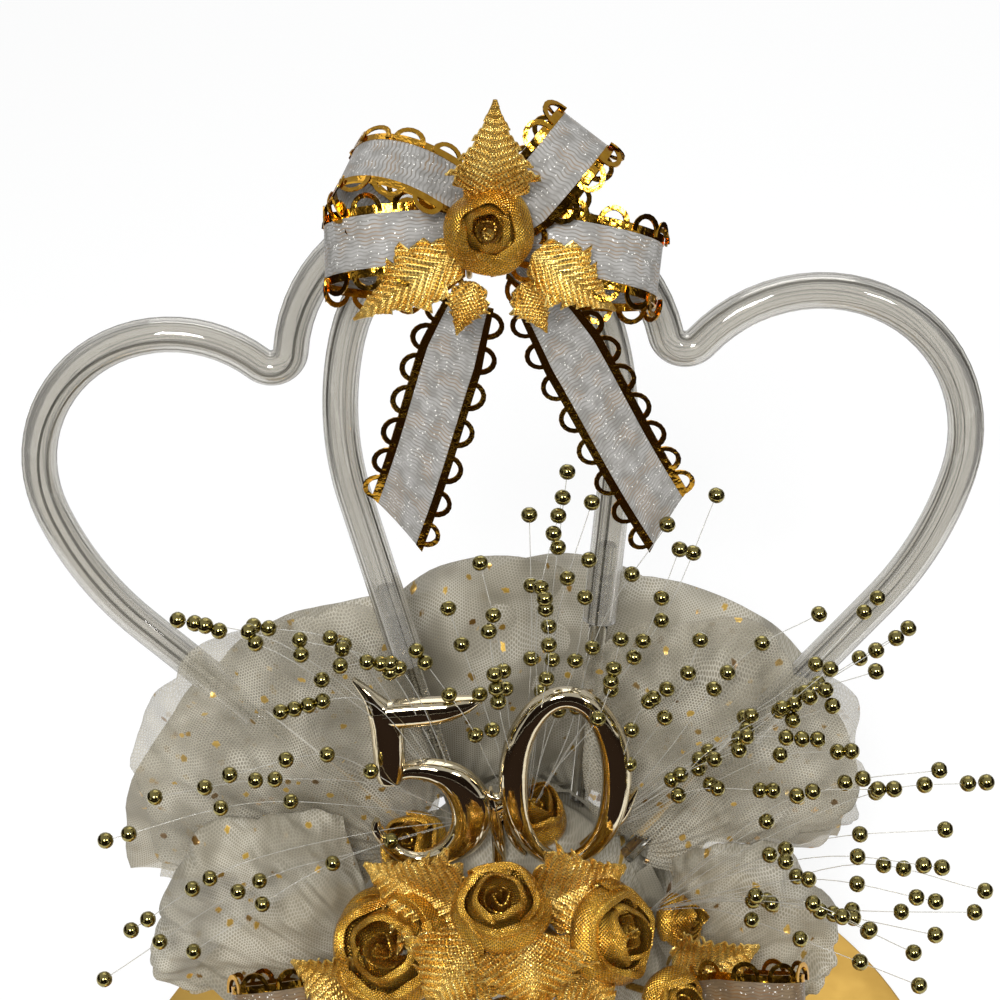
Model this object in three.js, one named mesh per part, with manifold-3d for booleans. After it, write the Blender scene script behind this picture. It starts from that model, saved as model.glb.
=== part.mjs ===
// Anniversary cake topper: two clear tube hearts tied by a ribbon bow, a plated number 50, ribbon roses,
// tulle puffs and bead sprays in a foam mound on a gold disc.
// Millimetres, +Z up, +X to the viewer's right, -Y towards the viewer.
// The origin is the middle of the disc's underside.

import * as THREE from 'three';
import { mergeVertices } from 'three/addons/utils/BufferGeometryUtils.js';
import Module from 'manifold-3d';

const wasm = await Module();
wasm.setup();

// Driving sizes: fits
const pieceGap = 0.3;
const stemDepth = 7;

// Driving sizes: disc and foam
const discDiameter = 170;
const discThickness = 3;
const discChamfer = 0.5;
const moundDiameter = 76;
const moundHeight = 70;
const moundSetBack = 10;

// Driving sizes: hearts, in a plane that leans back; lengths along a heart start at its tip
const tubeDiameter = 6.35;
const tubeWall = 1.1;
const heartLean = 12;
const heartSetBack = 11.3;
const heartTipRise = 45;
const lobeHeight = 108.5;
const notchRadius = 3.6;
const sideRadius = 60;
const leftHeart = {
  side: -1,
  tilt: 18.6,
  outer: { lobe: 24.8, leg: 26, end: 58 },
  inner: { lobe: 28.4, leg: 26, end: 52 },
};
const rightHeart = {
  side: 1,
  tilt: 15.8,
  outer: { lobe: 27.3, leg: 27, end: 50 },
  inner: { lobe: 28.4, leg: 29, end: 50 },
};

// Driving sizes: ribbed pegs
const pegInsert = 14;
const pegFoot = 13;
const pegPlainTop = 5;
const pegRibDepth = 0.35;
const pegRibPitch = 2;
const pegRibCount = 6;

// Driving sizes: number
const numeralHeight = 36.7;
const numeralDepth = 4;
const numeralEdge = 1.2;
const numeralRound = 0.6;
const pickDiameter = 2.6;
const pickLength = 12;

// Driving sizes: ribbon and bow
const ribbonWidth = 15.6;
const ribbonThickness = 0.5;
const knotDiameter = 9;
const knotDepth = 7;
const loopFullness = 7.5;
const tieWire = 1;
const bowRoseDiameter = 15.4;
const bowRoseHeight = 9;

// Driving sizes: roses, leaves, tulle and beads
const leafThickness = 0.6;
const stemDiameter = 1.4;
const tulleThickness = 0.9;
const beadDiameter = 3;
const filamentDiameter = 0.5;

const vec = (x, y, z) => new THREE.Vector3(x, y, z);
const at = (list) => new THREE.Vector3(...list);
const rad = THREE.MathUtils.degToRad;
const fullTurn = 2 * Math.PI;
const stemSides = 5;

// A closed geometry as a solid that can be joined and cut.
function solidOf(geometry) {
  const bare = geometry.clone();
  bare.deleteAttribute('normal');
  bare.deleteAttribute('uv');
  const merged = mergeVertices(bare, 1e-5);
  return new wasm.Manifold(new wasm.Mesh({
    numProp: 3,
    vertProperties: new Float32Array(merged.attributes.position.array),
    triVerts: new Uint32Array(merged.index.array),
  }));
}

function geometryOf(solid) {
  const mesh = solid.getMesh();
  const geometry = new THREE.BufferGeometry();
  geometry.setAttribute('position', new THREE.BufferAttribute(new Float32Array(mesh.vertProperties), 3));
  geometry.setIndex(new THREE.BufferAttribute(new Uint32Array(mesh.triVerts), 1));
  geometry.computeVertexNormals();
  return geometry;
}

// The largest body of a cut solid: a soft piece keeps its main part where a neighbour passes through it.
function mainBody(solid) {
  return solid.decompose().reduce((best, body) => (body.volume() > best.volume() ? body : best));
}

const joined = (solids) => solids.reduce((whole, solid) => whole.add(solid));

function boxesMeet(a, b) {
  const first = a.boundingBox();
  const second = b.boundingBox();
  return [0, 1, 2].every((k) => first.min[k] < second.max[k] && second.min[k] < first.max[k]);
}

// A solid with room cut out of it for each neighbour.
function clearOf(solid, neighbours) {
  const cut = neighbours
    .filter((neighbour) => boxesMeet(solid, neighbour))
    .reduce((left, neighbour) => left.subtract(neighbour), solid);
  return mainBody(cut);
}

// A geometry whose own Z axis is turned to a direction and whose origin is moved to a place.
function placed(geometry, place, direction) {
  const turn = new THREE.Quaternion().setFromUnitVectors(vec(0, 0, 1), direction.clone().normalize());
  const copy = geometry.clone();
  copy.applyQuaternion(turn);
  copy.translate(place.x, place.y, place.z);
  return copy;
}

// A round rod between two points.
function rodSolid(from, to, radius, sides = stemSides) {
  const rod = new THREE.CylinderGeometry(radius, radius, from.distanceTo(to), sides);
  rod.rotateX(Math.PI / 2);
  return solidOf(placed(rod, from.clone().lerp(to, 0.5), to.clone().sub(from)));
}

// A form of revolution about its own Z axis, from [radius, height] points.
function latheForm(profile, sides) {
  const lathe = new THREE.LatheGeometry(profile.map(([r, h]) => new THREE.Vector2(r, h)), sides);
  lathe.rotateX(Math.PI / 2);
  return lathe;
}

// A closed tube through points, with its own radius at each point.
function sweepSolid(points, radii, sides) {
  const last = points.length - 1;
  const places = [];
  const faces = [];
  const across = vec(0.31, 0.9, 0.3);
  points.forEach((point, k) => {
    const way = points[Math.min(k + 1, last)].clone().sub(points[Math.max(k - 1, 0)]).normalize();
    across.addScaledVector(way, -across.dot(way)).normalize();
    const beside = way.clone().cross(across);
    for (let i = 0; i < sides; i += 1) {
      const turn = i / sides * fullTurn;
      const place = point.clone()
        .addScaledVector(across, radii[k] * Math.cos(turn))
        .addScaledVector(beside, radii[k] * Math.sin(turn));
      places.push(...place.toArray());
    }
  });
  for (let k = 0; k < last; k += 1) {
    for (let i = 0; i < sides; i += 1) {
      const a = k * sides + i;
      const b = k * sides + (i + 1) % sides;
      faces.push(a, b, b + sides, a, b + sides, a + sides);
    }
  }
  for (let i = 1; i + 1 < sides; i += 1) {
    faces.push(0, i + 1, i);
    faces.push(last * sides, last * sides + i, last * sides + i + 1);
  }
  const geometry = new THREE.BufferGeometry();
  geometry.setAttribute('position', new THREE.Float32BufferAttribute(places, 3));
  geometry.setIndex(faces);
  return solidOf(geometry);
}

// A thin closed solid on both sides of a surface, which gives a middle point for each u and v from 0 to 1.
function sheetSolid(surface, across, along, thickness) {
  const step = 1e-3;
  const points = [];
  const faces = [];
  const row = across + 1;
  for (const side of [1, -1]) {
    for (let j = 0; j <= along; j += 1) {
      for (let i = 0; i <= across; i += 1) {
        const u = i / across;
        const v = j / along;
        const alongU = surface(u + step, v).sub(surface(u - step, v));
        const alongV = surface(u, v + step).sub(surface(u, v - step));
        const normal = alongU.cross(alongV).normalize();
        points.push(...surface(u, v).addScaledVector(normal, side * thickness / 2).toArray());
      }
    }
  }
  const back = row * (along + 1);
  const quad = (a, b, c, d) => faces.push(a, b, c, a, c, d);
  for (let j = 0; j < along; j += 1) {
    for (let i = 0; i < across; i += 1) {
      const k = j * row + i;
      quad(k, k + 1, k + row + 1, k + row);
      quad(back + k, back + k + row, back + k + row + 1, back + k + 1);
    }
  }
  for (let i = 0; i < across; i += 1) {
    const last = along * row + i;
    quad(i, back + i, back + i + 1, i + 1);
    quad(last, last + 1, back + last + 1, back + last);
  }
  for (let j = 0; j < along; j += 1) {
    const left = j * row;
    const right = left + across;
    quad(left, left + row, back + left + row, back + left);
    quad(right, back + right, back + right + row, right + row);
  }
  const geometry = new THREE.BufferGeometry();
  geometry.setAttribute('position', new THREE.Float32BufferAttribute(points, 3));
  geometry.setIndex(faces);
  return solidOf(geometry);
}

// Materials, with the colours of the photograph
const finish = (color, roughness, metalness, more = {}) => (
  new THREE.MeshStandardMaterial({ color, roughness, metalness, ...more })
);
const goldMirror = finish('#c8a04a', 0.25, 1);
const foamWhite = finish('#f2f0ea', 0.9, 0);
const clearPlastic = finish('#dcdedb', 0.08, 0, { transparent: true, opacity: 0.35 });
const goldPlate = finish('#c9a45c', 0.08, 1);
const goldLame = finish('#d0982c', 0.35, 0.9);
const sheerRibbon = finish('#d6d6d4', 0.6, 0, { transparent: true, opacity: 0.8 });
const tulleNet = finish('#b3ada0', 0.85, 0, { transparent: true, opacity: 0.55 });
const beadGold = finish('#a39a5a', 0.2, 1);
const wireGold = finish('#b88a32', 0.3, 1);

const topper = new THREE.Group();
topper.name = 'anniversary_cake_topper';

function addPiece(name, solid, material) {
  const mesh = new THREE.Mesh(geometryOf(solid), material);
  mesh.name = name;
  topper.add(mesh);
}

// Disc
const discRadius = discDiameter / 2;
const discSides = 48;
const disc = solidOf(latheForm([
  [0, 0],
  [discRadius - discChamfer, 0],
  [discRadius, discChamfer],
  [discRadius, discThickness - discChamfer],
  [discRadius - discChamfer, discThickness],
  [0, discThickness],
], discSides));

// Foam mound: half of an egg on the disc
const moundRadius = moundDiameter / 2;
const moundCentre = vec(0, moundSetBack, discThickness + pieceGap);
const moundSides = 20;
const moundBands = 5;
function moundSolid(grow) {
  const profile = [[0, 0]];
  for (let k = 0; k < moundBands; k += 1) {
    const turn = k / moundBands * Math.PI / 2;
    profile.push([(moundRadius + grow) * Math.cos(turn), (moundHeight + grow) * Math.sin(turn)]);
  }
  profile.push([0, moundHeight + grow]);
  const form = latheForm(profile, moundSides);
  form.translate(...moundCentre.toArray());
  return solidOf(form);
}

// A place at the mound, in shares of its radius across and of its height up.
function moundPlace([x, y, z]) {
  return vec(x * moundRadius, y * moundRadius, z * moundHeight).add(moundCentre);
}

// The outward direction of the mound's surface at a point near it.
function moundNormal(point) {
  const away = point.clone().sub(moundCentre);
  return vec(away.x / moundRadius ** 2, away.y / moundRadius ** 2, away.z / moundHeight ** 2).normalize();
}

// The point where a line from a point outside the mound meets its surface.
function moundPoint(point, inward) {
  const scale = vec(1 / moundRadius, 1 / moundRadius, 1 / moundHeight);
  const start = point.clone().sub(moundCentre).multiply(scale);
  const way = inward.clone().multiply(scale);
  const half = start.dot(way) / way.lengthSq();
  const reach = -half - Math.sqrt(Math.max(half ** 2 - (start.lengthSq() - 1) / way.lengthSq(), 0));
  return point.clone().addScaledVector(inward, reach);
}

// Hearts
const tubeRadius = tubeDiameter / 2;
const boreRadius = tubeRadius - tubeWall;
const planeOffset = tubeRadius + pieceGap;
const lean = rad(heartLean);
const heartTipHeight = discThickness + heartTipRise;

// A point of a heart's plane: outward from its axis and along it from the tip.
function heartPoint(heart, outward, along) {
  const tilt = rad(heart.tilt);
  const across = heart.side * (outward * Math.cos(tilt) + along * Math.sin(tilt));
  const up = along * Math.cos(tilt) - outward * Math.sin(tilt);
  const behind = -heart.side * planeOffset;
  return vec(
    across,
    heartSetBack + up * Math.sin(lean) + behind * Math.cos(lean),
    heartTipHeight + up * Math.cos(lean) - behind * Math.sin(lean),
  );
}

// The straight part of a leg: its outward place at a length along the heart.
function legOutward({ lobe, leg }, along) {
  const bend = rad(leg);
  const arcEnd = lobeHeight - sideRadius * Math.sin(bend);
  const arcOut = 2 * lobe - sideRadius * (1 - Math.cos(bend));
  return arcOut - (arcEnd - along) * Math.tan(bend);
}

// The centreline of a heart from its outer foot over both lobes to its inner foot.
// Arcs that follow one another leave a little room, so that no two points fall together.
const lobeSteps = 9;
const notchSteps = 3;
const sideSteps = 2;
const arcRoom = 0.12;
function heartRoute(heart) {
  const { outer, inner } = heart;
  const spacing = outer.lobe + inner.lobe;
  const outerReach = outer.lobe + notchRadius;
  const innerReach = inner.lobe + notchRadius;
  const toNotch = (outerReach ** 2 - innerReach ** 2 + spacing ** 2) / (2 * spacing);
  const notchRise = Math.sqrt(outerReach ** 2 - toNotch ** 2);
  const outerStop = Math.atan2(notchRise, -toNotch);
  const innerStart = Math.atan2(notchRise, spacing - toNotch);
  const notchFrom = outerStop - Math.PI - arcRoom;
  const notchTo = innerStart - Math.PI + arcRoom;
  const flat = [];
  const arc = (centreOut, centreAlong, radius, from, to, steps) => {
    for (let k = 0; k <= steps; k += 1) {
      const turn = from + (to - from) * k / steps;
      flat.push([centreOut + radius * Math.cos(turn), centreAlong + radius * Math.sin(turn)]);
    }
  };
  flat.push([legOutward(outer, outer.end), outer.end]);
  arc(2 * outer.lobe - sideRadius, lobeHeight, sideRadius, -rad(outer.leg), -arcRoom, sideSteps);
  arc(outer.lobe, lobeHeight, outer.lobe, 0, outerStop, lobeSteps);
  arc(outer.lobe - toNotch, lobeHeight + notchRise, notchRadius, notchFrom, notchTo, notchSteps);
  arc(-inner.lobe, lobeHeight, inner.lobe, innerStart, Math.PI, lobeSteps);
  const innerTurn = Math.PI + rad(inner.leg);
  arc(sideRadius - 2 * inner.lobe, lobeHeight, sideRadius, Math.PI + arcRoom, innerTurn, sideSteps);
  flat.push([-legOutward(inner, inner.end), inner.end]);
  return flat.map(([outward, along]) => heartPoint(heart, outward, along));
}

const tubeSides = 10;
const boreSides = 8;
const boreOverrun = 1;

// A tube's outer form without its bore, drawn out past both ends by overrun.
function heartRod(heart, radius, sides, overrun) {
  const points = heartRoute(heart);
  const first = points[0].clone().sub(points[1]).normalize();
  const final = points.at(-1).clone().sub(points.at(-2)).normalize();
  points[0].addScaledVector(first, overrun);
  points.at(-1).addScaledVector(final, overrun);
  return sweepSolid(points, points.map(() => radius), sides);
}

function heartSolid(heart) {
  const bore = heartRod(heart, boreRadius / Math.cos(Math.PI / boreSides), boreSides, boreOverrun);
  return heartRod(heart, tubeRadius, tubeSides, 0).subtract(bore);
}

function heartRoom(heart) {
  return heartRod(heart, (tubeRadius + pieceGap) / Math.cos(Math.PI / boreSides), boreSides, pieceGap);
}

// Pegs: a rod in each tube end, with a ribbed part below its plain top
const pegRadius = boreRadius - pieceGap;
const pegSides = 8;
const pegPlan = [
  { name: 'peg_left_outer', heart: leftHeart, side: 1, strand: leftHeart.outer },
  { name: 'peg_left_inner', heart: leftHeart, side: -1, strand: leftHeart.inner },
  { name: 'peg_right_inner', heart: rightHeart, side: -1, strand: rightHeart.inner },
  { name: 'peg_right_outer', heart: rightHeart, side: 1, strand: rightHeart.outer },
];

// The middle of a peg at a length along its heart.
function pegPoint({ heart, side, strand }, along) {
  return heartPoint(heart, side * legOutward(strand, along), along);
}

function pegSolid(peg) {
  const foot = pegPoint(peg, pegFoot);
  const top = pegPoint(peg, peg.strand.end + pegInsert);
  const length = top.distanceTo(foot);
  const ribFoot = length - pegPlainTop - pegRibPitch * pegRibCount;
  const profile = [[0, 0], [pegRadius, 0]];
  for (let k = 0; k < pegRibCount; k += 1) {
    profile.push([pegRadius, ribFoot + k * pegRibPitch]);
    profile.push([pegRadius - pegRibDepth, ribFoot + (k + 0.5) * pegRibPitch]);
  }
  profile.push([pegRadius, ribFoot + pegRibCount * pegRibPitch], [pegRadius, length], [0, length]);
  return solidOf(placed(latheForm(profile, pegSides), foot, top.clone().sub(foot)));
}

function pegRoomSolid(peg) {
  const foot = pegPoint(peg, pegFoot - pieceGap);
  const top = pegPoint(peg, peg.strand.end);
  return rodSolid(foot, top, (pegRadius + pieceGap) / Math.cos(Math.PI / pegSides), pegSides);
}

// Every piece in turn, with the room that later pieces keep clear of
const pieces = [];
const room = [];
const stemHoles = [];
const moundRoom = moundSolid(pieceGap);

function addRigid(name, solid, ownRoom, material) {
  pieces.push([name, solid, material]);
  room.push(ownRoom);
}

// A piece that gives way to the pieces before it.
function addFitted(name, solid, ownRoom, material) {
  addRigid(name, clearOf(solid, [moundRoom, ...room]), ownRoom, material);
}

// A piece on a stem from a point of it down into the foam, which gives way to the pieces before it.
function addStemmed(name, head, headRoom, point, inward, material, width = stemDiameter, depth = stemDepth) {
  const end = moundPoint(point, inward).addScaledVector(inward, depth);
  const stem = rodSolid(point, end, width / 2);
  const stemRoom = rodSolid(point, end.clone().addScaledVector(inward, pieceGap), width / 2 + pieceGap);
  stemHoles.push(stemRoom);
  const solid = clearOf(head, [moundRoom]).add(stem);
  addRigid(name, clearOf(solid, room), headRoom.add(stemRoom), material);
}

addRigid('left_heart_tube', heartSolid(leftHeart), heartRoom(leftHeart), clearPlastic);
addRigid('right_heart_tube', heartSolid(rightHeart), heartRoom(rightHeart), clearPlastic);
pegPlan.forEach((peg) => addRigid(peg.name, pegSolid(peg), pegRoomSolid(peg), clearPlastic));
const pegHoles = pegPlan.map((peg) => pegRoomSolid(peg));

// Number: outlines in its own plane, in hundredths of its height, x across and y up from its foot
const fiveOutline = [
  [-64, 100], [-53, 91.5], [-6.5, 91], [-6, 87.5], [-18, 81.5], [-45, 81], [-46, 59.5], [-26, 63],
  [-12, 57], [-3.5, 42.5], [-2, 31.5], [-8.5, 15], [-21, 4], [-38.5, 0], [-52.5, 8.5], [-61, 23.5],
  [-59, 30], [-55.5, 28.5], [-50, 18], [-40.5, 11], [-28.5, 13], [-20, 24], [-18.5, 38], [-24, 49.5],
  [-34, 54], [-46, 52.5], [-56.5, 50.5], [-59, 59.5], [-58.5, 87], [-62.5, 94.5],
];
const zeroPlan = { x: 34.3, y: 50, halfWidth: 31.6, halfHeight: 50, sideStroke: 12, endStroke: 8, sides: 22 };
const linkPlan = { x: 0, y: 39.5, width: 13.6, height: 11 };
const numeralFoot = moundPlace([-0.084, -0.25, 0.962]);
const numeralUnit = numeralHeight / 100;
const leanUp = vec(0, Math.sin(lean), Math.cos(lean));

function ovalOf(halfWidth, halfHeight) {
  const points = [];
  for (let k = 0; k < zeroPlan.sides; k += 1) {
    const turn = k / zeroPlan.sides * fullTurn;
    const x = zeroPlan.x + halfWidth * Math.cos(turn);
    const y = zeroPlan.y + halfHeight * Math.sin(turn);
    points.push(new THREE.Vector2(x, y).multiplyScalar(numeralUnit));
  }
  return points;
}

// From the numeral's own plane to its place, leaning back like the hearts.
function standNumeral(geometry) {
  geometry.rotateX(Math.PI / 2 - lean);
  geometry.translate(...numeralFoot.toArray());
  return solidOf(geometry);
}

function numeralSolid(grow) {
  const settings = {
    depth: numeralDepth - 2 * numeralEdge,
    bevelEnabled: true,
    bevelThickness: numeralEdge + grow,
    bevelSize: numeralRound + grow,
    bevelOffset: -numeralRound,
    bevelSegments: 1,
  };
  const fivePoints = fiveOutline.map(([x, y]) => new THREE.Vector2(x, y).multiplyScalar(numeralUnit));
  const five = new THREE.Shape(fivePoints);
  const { halfWidth, halfHeight, sideStroke, endStroke } = zeroPlan;
  const zero = new THREE.Shape(ovalOf(halfWidth, halfHeight));
  zero.holes.push(new THREE.Path(ovalOf(halfWidth - sideStroke, halfHeight - endStroke)));
  const linkWidth = linkPlan.width * numeralUnit;
  const link = new THREE.BoxGeometry(linkWidth, linkPlan.height * numeralUnit, numeralDepth / 2 + grow);
  link.translate(linkPlan.x * numeralUnit, linkPlan.y * numeralUnit, numeralDepth / 4 - numeralEdge / 2);
  const forms = [new THREE.ExtrudeGeometry(five, settings), new THREE.ExtrudeGeometry(zero, settings), link];
  return joined(forms.map(standNumeral));
}

const linkPoint = numeralFoot.clone()
  .add(vec(linkPlan.x * numeralUnit, 0, 0))
  .addScaledVector(leanUp, linkPlan.y * numeralUnit);
const pickWay = leanUp.clone().negate();
const numeral = numeralSolid(0);
const numeralRoom = numeralSolid(pieceGap);
addStemmed('numeral_50', numeral, numeralRoom, linkPoint, pickWay, goldPlate, pickDiameter, pickLength);

// Roses: a core inside rings of petals, each ring as [share of radius, share of height, petal wave]
const roseRings = [
  [0.2, 0.92, 0.02], [0.34, 0.74, 0.05], [0.52, 1, 0.08], [0.66, 0.62, 0.08], [0.9, 0.78, 0.1], [1, 0.5, 0.1],
];
const rosePetals = 4;
const roseSides = 12;
const roseCore = 0.62;
const roseTwist = 1.3;
const roseStemStart = 0.3;
function roseHead(diameter, height) {
  const radius = diameter / 2;
  const points = [0, 0, roseCore * height];
  const faces = [];
  roseRings.forEach(([share, rise, wave], ring) => {
    for (let k = 0; k < roseSides; k += 1) {
      const turn = k / roseSides * fullTurn;
      const petal = 1 + wave * Math.cos(rosePetals * turn + ring * roseTwist);
      const r = radius * share * petal / (1 + roseRings.at(-1)[2]);
      points.push(r * Math.cos(turn), r * Math.sin(turn), height * rise);
    }
  });
  const foot = points.length / 3;
  points.push(0, 0, 0);
  const ringStart = (ring) => 1 + ring * roseSides;
  for (let k = 0; k < roseSides; k += 1) {
    const next = (k + 1) % roseSides;
    faces.push(0, 1 + k, 1 + next);
    for (let ring = 0; ring + 1 < roseRings.length; ring += 1) {
      const a = ringStart(ring);
      const b = ringStart(ring + 1);
      faces.push(a + k, b + k, b + next, a + k, b + next, a + next);
    }
    const rim = ringStart(roseRings.length - 1);
    faces.push(foot, rim + next, rim + k);
  }
  const geometry = new THREE.BufferGeometry();
  geometry.setAttribute('position', new THREE.Float32BufferAttribute(points, 3));
  geometry.setIndex(faces);
  return geometry;
}

// The room round a rose: a cup with straight sides and a flat top.
const roseShoulder = { share: 0.7, rise: 0.8 };
function roseRoom(diameter, height) {
  const radius = (diameter / 2 + pieceGap) / Math.cos(Math.PI / roseSides);
  const rim = roseRings.at(-1)[1] * height - pieceGap;
  return latheForm([
    [0, -pieceGap],
    [radius, rim],
    [radius, roseShoulder.rise * height + pieceGap],
    [radius * roseShoulder.share, height + pieceGap],
    [0, height + pieceGap],
  ], roseSides);
}

// Roses of the front, each on its place of the mound, facing out of it or the way that is given
const roses = [
  { name: 'rose_front_centre', place: [-0.085, -0.65, 0.979], facing: [0, -0.35, 0.94], diameter: 17, height: 12 },
  { name: 'rose_front_left', place: [-0.573, -0.504, 0.822], facing: [-0.3, -0.68, 0.67], diameter: 21, height: 13 },
  { name: 'rose_front_right', place: [0.314, -0.59, 0.88], facing: [0.72, -0.5, 0.48], diameter: 19, height: 13 },
  { name: 'rose_far_right', place: [0.697, -0.309, 0.759], diameter: 11, height: 9 },
  { name: 'rose_behind_five', place: [-0.46, -0.03, 0.91], diameter: 12, height: 10 },
  { name: 'rose_behind_zero', place: [0.116, -0.05, 0.95], diameter: 9, height: 12 },
  { name: 'rose_low_right', place: [0.63, -0.7, 0.72], diameter: 13, height: 10 },
  { name: 'rose_low_centre', place: [-0.05, -0.86, 0.71], diameter: 18, height: 12 },
  { name: 'rose_low_left', place: [-0.56, -0.8, 0.58], diameter: 17, height: 12 },
  { name: 'rose_foot_centre', place: [0.26, -0.99, 0.48], diameter: 15, height: 11 },
];
roses.forEach(({ name, place, facing, diameter, height }) => {
  const base = moundPlace(place);
  const out = facing ? at(facing).normalize() : moundNormal(base);
  const head = solidOf(placed(roseHead(diameter, height), base, out));
  const headRoom = solidOf(placed(roseRoom(diameter, height), base, out));
  const stemStart = base.clone().addScaledVector(out, height * roseStemStart);
  addStemmed(name, head, headRoom, stemStart, out.clone().negate(), goldLame);
});

// Leaves: a pointed oval folded along its rib, curling back towards its tip
const leafFootWidth = 0.12;
const leafFoldRise = 0.35;
const leafCurl = -0.12;
const leafEnds = [0.08, 0.96];
const leafBands = 6;
function leafSolid(foot, along, face, width, thickness) {
  const length = along.length();
  const way = along.clone().normalize();
  const across = way.clone().cross(face).normalize();
  const up = across.clone().cross(way);
  const surface = (u, v) => {
    const side = 2 * u - 1;
    const swell = Math.sin(Math.PI * (leafEnds[0] + (leafEnds[1] - leafEnds[0]) * v));
    const spread = width / 2 * (leafFootWidth + (1 - leafFootWidth) * swell);
    return foot.clone()
      .addScaledVector(across, side * spread)
      .addScaledVector(way, length * v)
      .addScaledVector(up, leafFoldRise * Math.abs(side) * spread + leafCurl * length * v * v);
  };
  return sheetSolid(surface, 2, leafBands, thickness);
}

// Leaves of the front: name, place of the foot, tip from the foot, width
const frontLeaves = [
  ['leaf_upper_right', [0.118, -0.553, 0.97], [17, 3, 5.5], 13],
  ['leaf_upper_left', [-0.27, -0.553, 0.96], [-19.5, 5, 7.5], 13],
  ['leaf_left', [-0.74, -0.6, 0.72], [-13, -4, 11], 14],
  ['leaf_right', [0.76, -0.5, 0.66], [15, -3, 9], 14],
  ['leaf_low_centre', [0.03, -0.77, 0.965], [1, -12, -8], 15],
  ['leaf_centre_left', [-0.25, -0.724, 0.93], [-8.5, -8.5, -8], 13],
  ['leaf_centre_right', [0.2, -0.724, 0.91], [8.5, -10, -8], 13],
];
const leafFace = vec(0, -0.8, 0.6);
frontLeaves.forEach(([name, place, tip, width]) => {
  const foot = moundPlace(place);
  const inward = moundNormal(foot).negate();
  const blade = leafSolid(foot, at(tip), leafFace, width, leafThickness);
  const bladeRoom = leafSolid(foot, at(tip), leafFace, width, leafThickness + 2 * pieceGap);
  const stemStart = foot.clone().addScaledVector(inward, -leafThickness);
  addStemmed(name, blade, bladeRoom, stemStart, inward, goldLame);
});

// Bow: in front of the place where the two inner lobes cross
const lobeTop = (heart) => heartPoint(heart, -heart.inner.lobe, lobeHeight + heart.inner.lobe);
const crossing = lobeTop(leftHeart).lerp(lobeTop(rightHeart), 0.5);
const bowStandOff = [3.4, -12.7, 1.9];
const bowCentre = crossing.clone().add(at(bowStandOff));
const bowFace = vec(0, -0.86, 0.5).normalize();
const knotSides = 12;
const bowRoseGap = 3.7;
function knotSolid(grow) {
  const radius = knotDiameter / 2 + grow;
  const knot = new THREE.CylinderGeometry(radius, radius, knotDepth + 2 * grow, knotSides);
  knot.rotateX(Math.PI / 2);
  return solidOf(placed(knot, bowCentre, bowFace));
}

addFitted('bow_knot', knotSolid(0), knotSolid(pieceGap), goldLame);
const bowRoseBase = bowCentre.clone().addScaledVector(bowFace, knotDepth / 2 + bowRoseGap);
const bowRose = solidOf(placed(roseHead(bowRoseDiameter, bowRoseHeight), bowRoseBase, bowFace));
const bowRoseRoom = solidOf(placed(roseRoom(bowRoseDiameter, bowRoseHeight), bowRoseBase, bowFace));
addFitted('bow_rose', bowRose, bowRoseRoom, goldLame);

// Tie: an oval wire round both tubes and the knot
const tieSteps = 16;
const tieSlack = 1.6;
function tieSolid(grow) {
  const back = lobeTop(leftHeart).y + tubeRadius + tieSlack;
  const front = bowCentre.y - knotDepth / 2 - tieSlack;
  const halfDepth = (back - front) / 2;
  const halfHeight = knotDiameter / 2 + tieSlack;
  const points = [];
  for (let k = 0; k <= tieSteps; k += 1) {
    const turn = (k + 0.5) / (tieSteps + 1) * fullTurn;
    const y = front + halfDepth * (1 - Math.cos(turn));
    points.push(vec(crossing.x, y, crossing.z + halfHeight * Math.sin(turn)));
  }
  return sweepSolid(points, points.map(() => tieWire / 2 + grow), stemSides);
}
addFitted('bow_tie_wire', tieSolid(0), tieSolid(pieceGap), wireGold);

// Leaves of the bow: name, foot and tip from the bow's middle, width
const bowLeaves = [
  ['bow_leaf_top', [1, -8, 8], [2, -10, 26.5], 14],
  ['bow_leaf_left', [-5, -9, 2], [-20.5, -10, -5.5], 11],
  ['bow_leaf_low_left', [-2.5, -10, -3], [-6, -13.5, -11], 9],
  ['bow_leaf_low_right', [5, -10.5, -3.5], [9, -14, -11], 9],
  ['bow_leaf_right', [7, -9, 1], [19, -10.5, -9], 11],
];
bowLeaves.forEach(([name, from, to, width]) => {
  const foot = bowCentre.clone().add(at(from));
  const along = at(to).sub(at(from));
  const bladeRoom = leafSolid(foot, along, bowFace, width, leafThickness + 2 * pieceGap);
  addFitted(name, leafSolid(foot, along, bowFace, width, leafThickness), bladeRoom, goldLame);
});

// A ribbon as a thin solid along a surface, with room kept on both faces.
function addRibbon(name, surface, bands) {
  const ribbonRoom = sheetSolid(surface, 1, bands, ribbonThickness + 2 * pieceGap);
  addFitted(name, sheetSolid(surface, 1, bands, ribbonThickness), ribbonRoom, sheerRibbon);
}

// A ribbon loop that goes out from a point in front, turns over and comes back behind.
// It is pinched where it starts and ends.
const loopPinch = 0.55;
const loopOpenAt = 0.4;
function loopSurface(start, out, face, length, ends) {
  const way = at(out).normalize();
  const across = way.clone().cross(face).normalize();
  const front = across.clone().cross(way).normalize();
  return (u, v) => {
    const turn = fullTurn * (ends + (1 - 2 * ends) * v);
    const share = (1 - Math.cos(turn)) / 2;
    const width = ribbonWidth * (loopPinch + (1 - loopPinch) * Math.min(1, share / loopOpenAt));
    return start.clone()
      .addScaledVector(way, share * length)
      .addScaledVector(front, loopFullness * Math.sin(turn))
      .addScaledVector(across, (u - 0.5) * width);
  };
}

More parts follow.
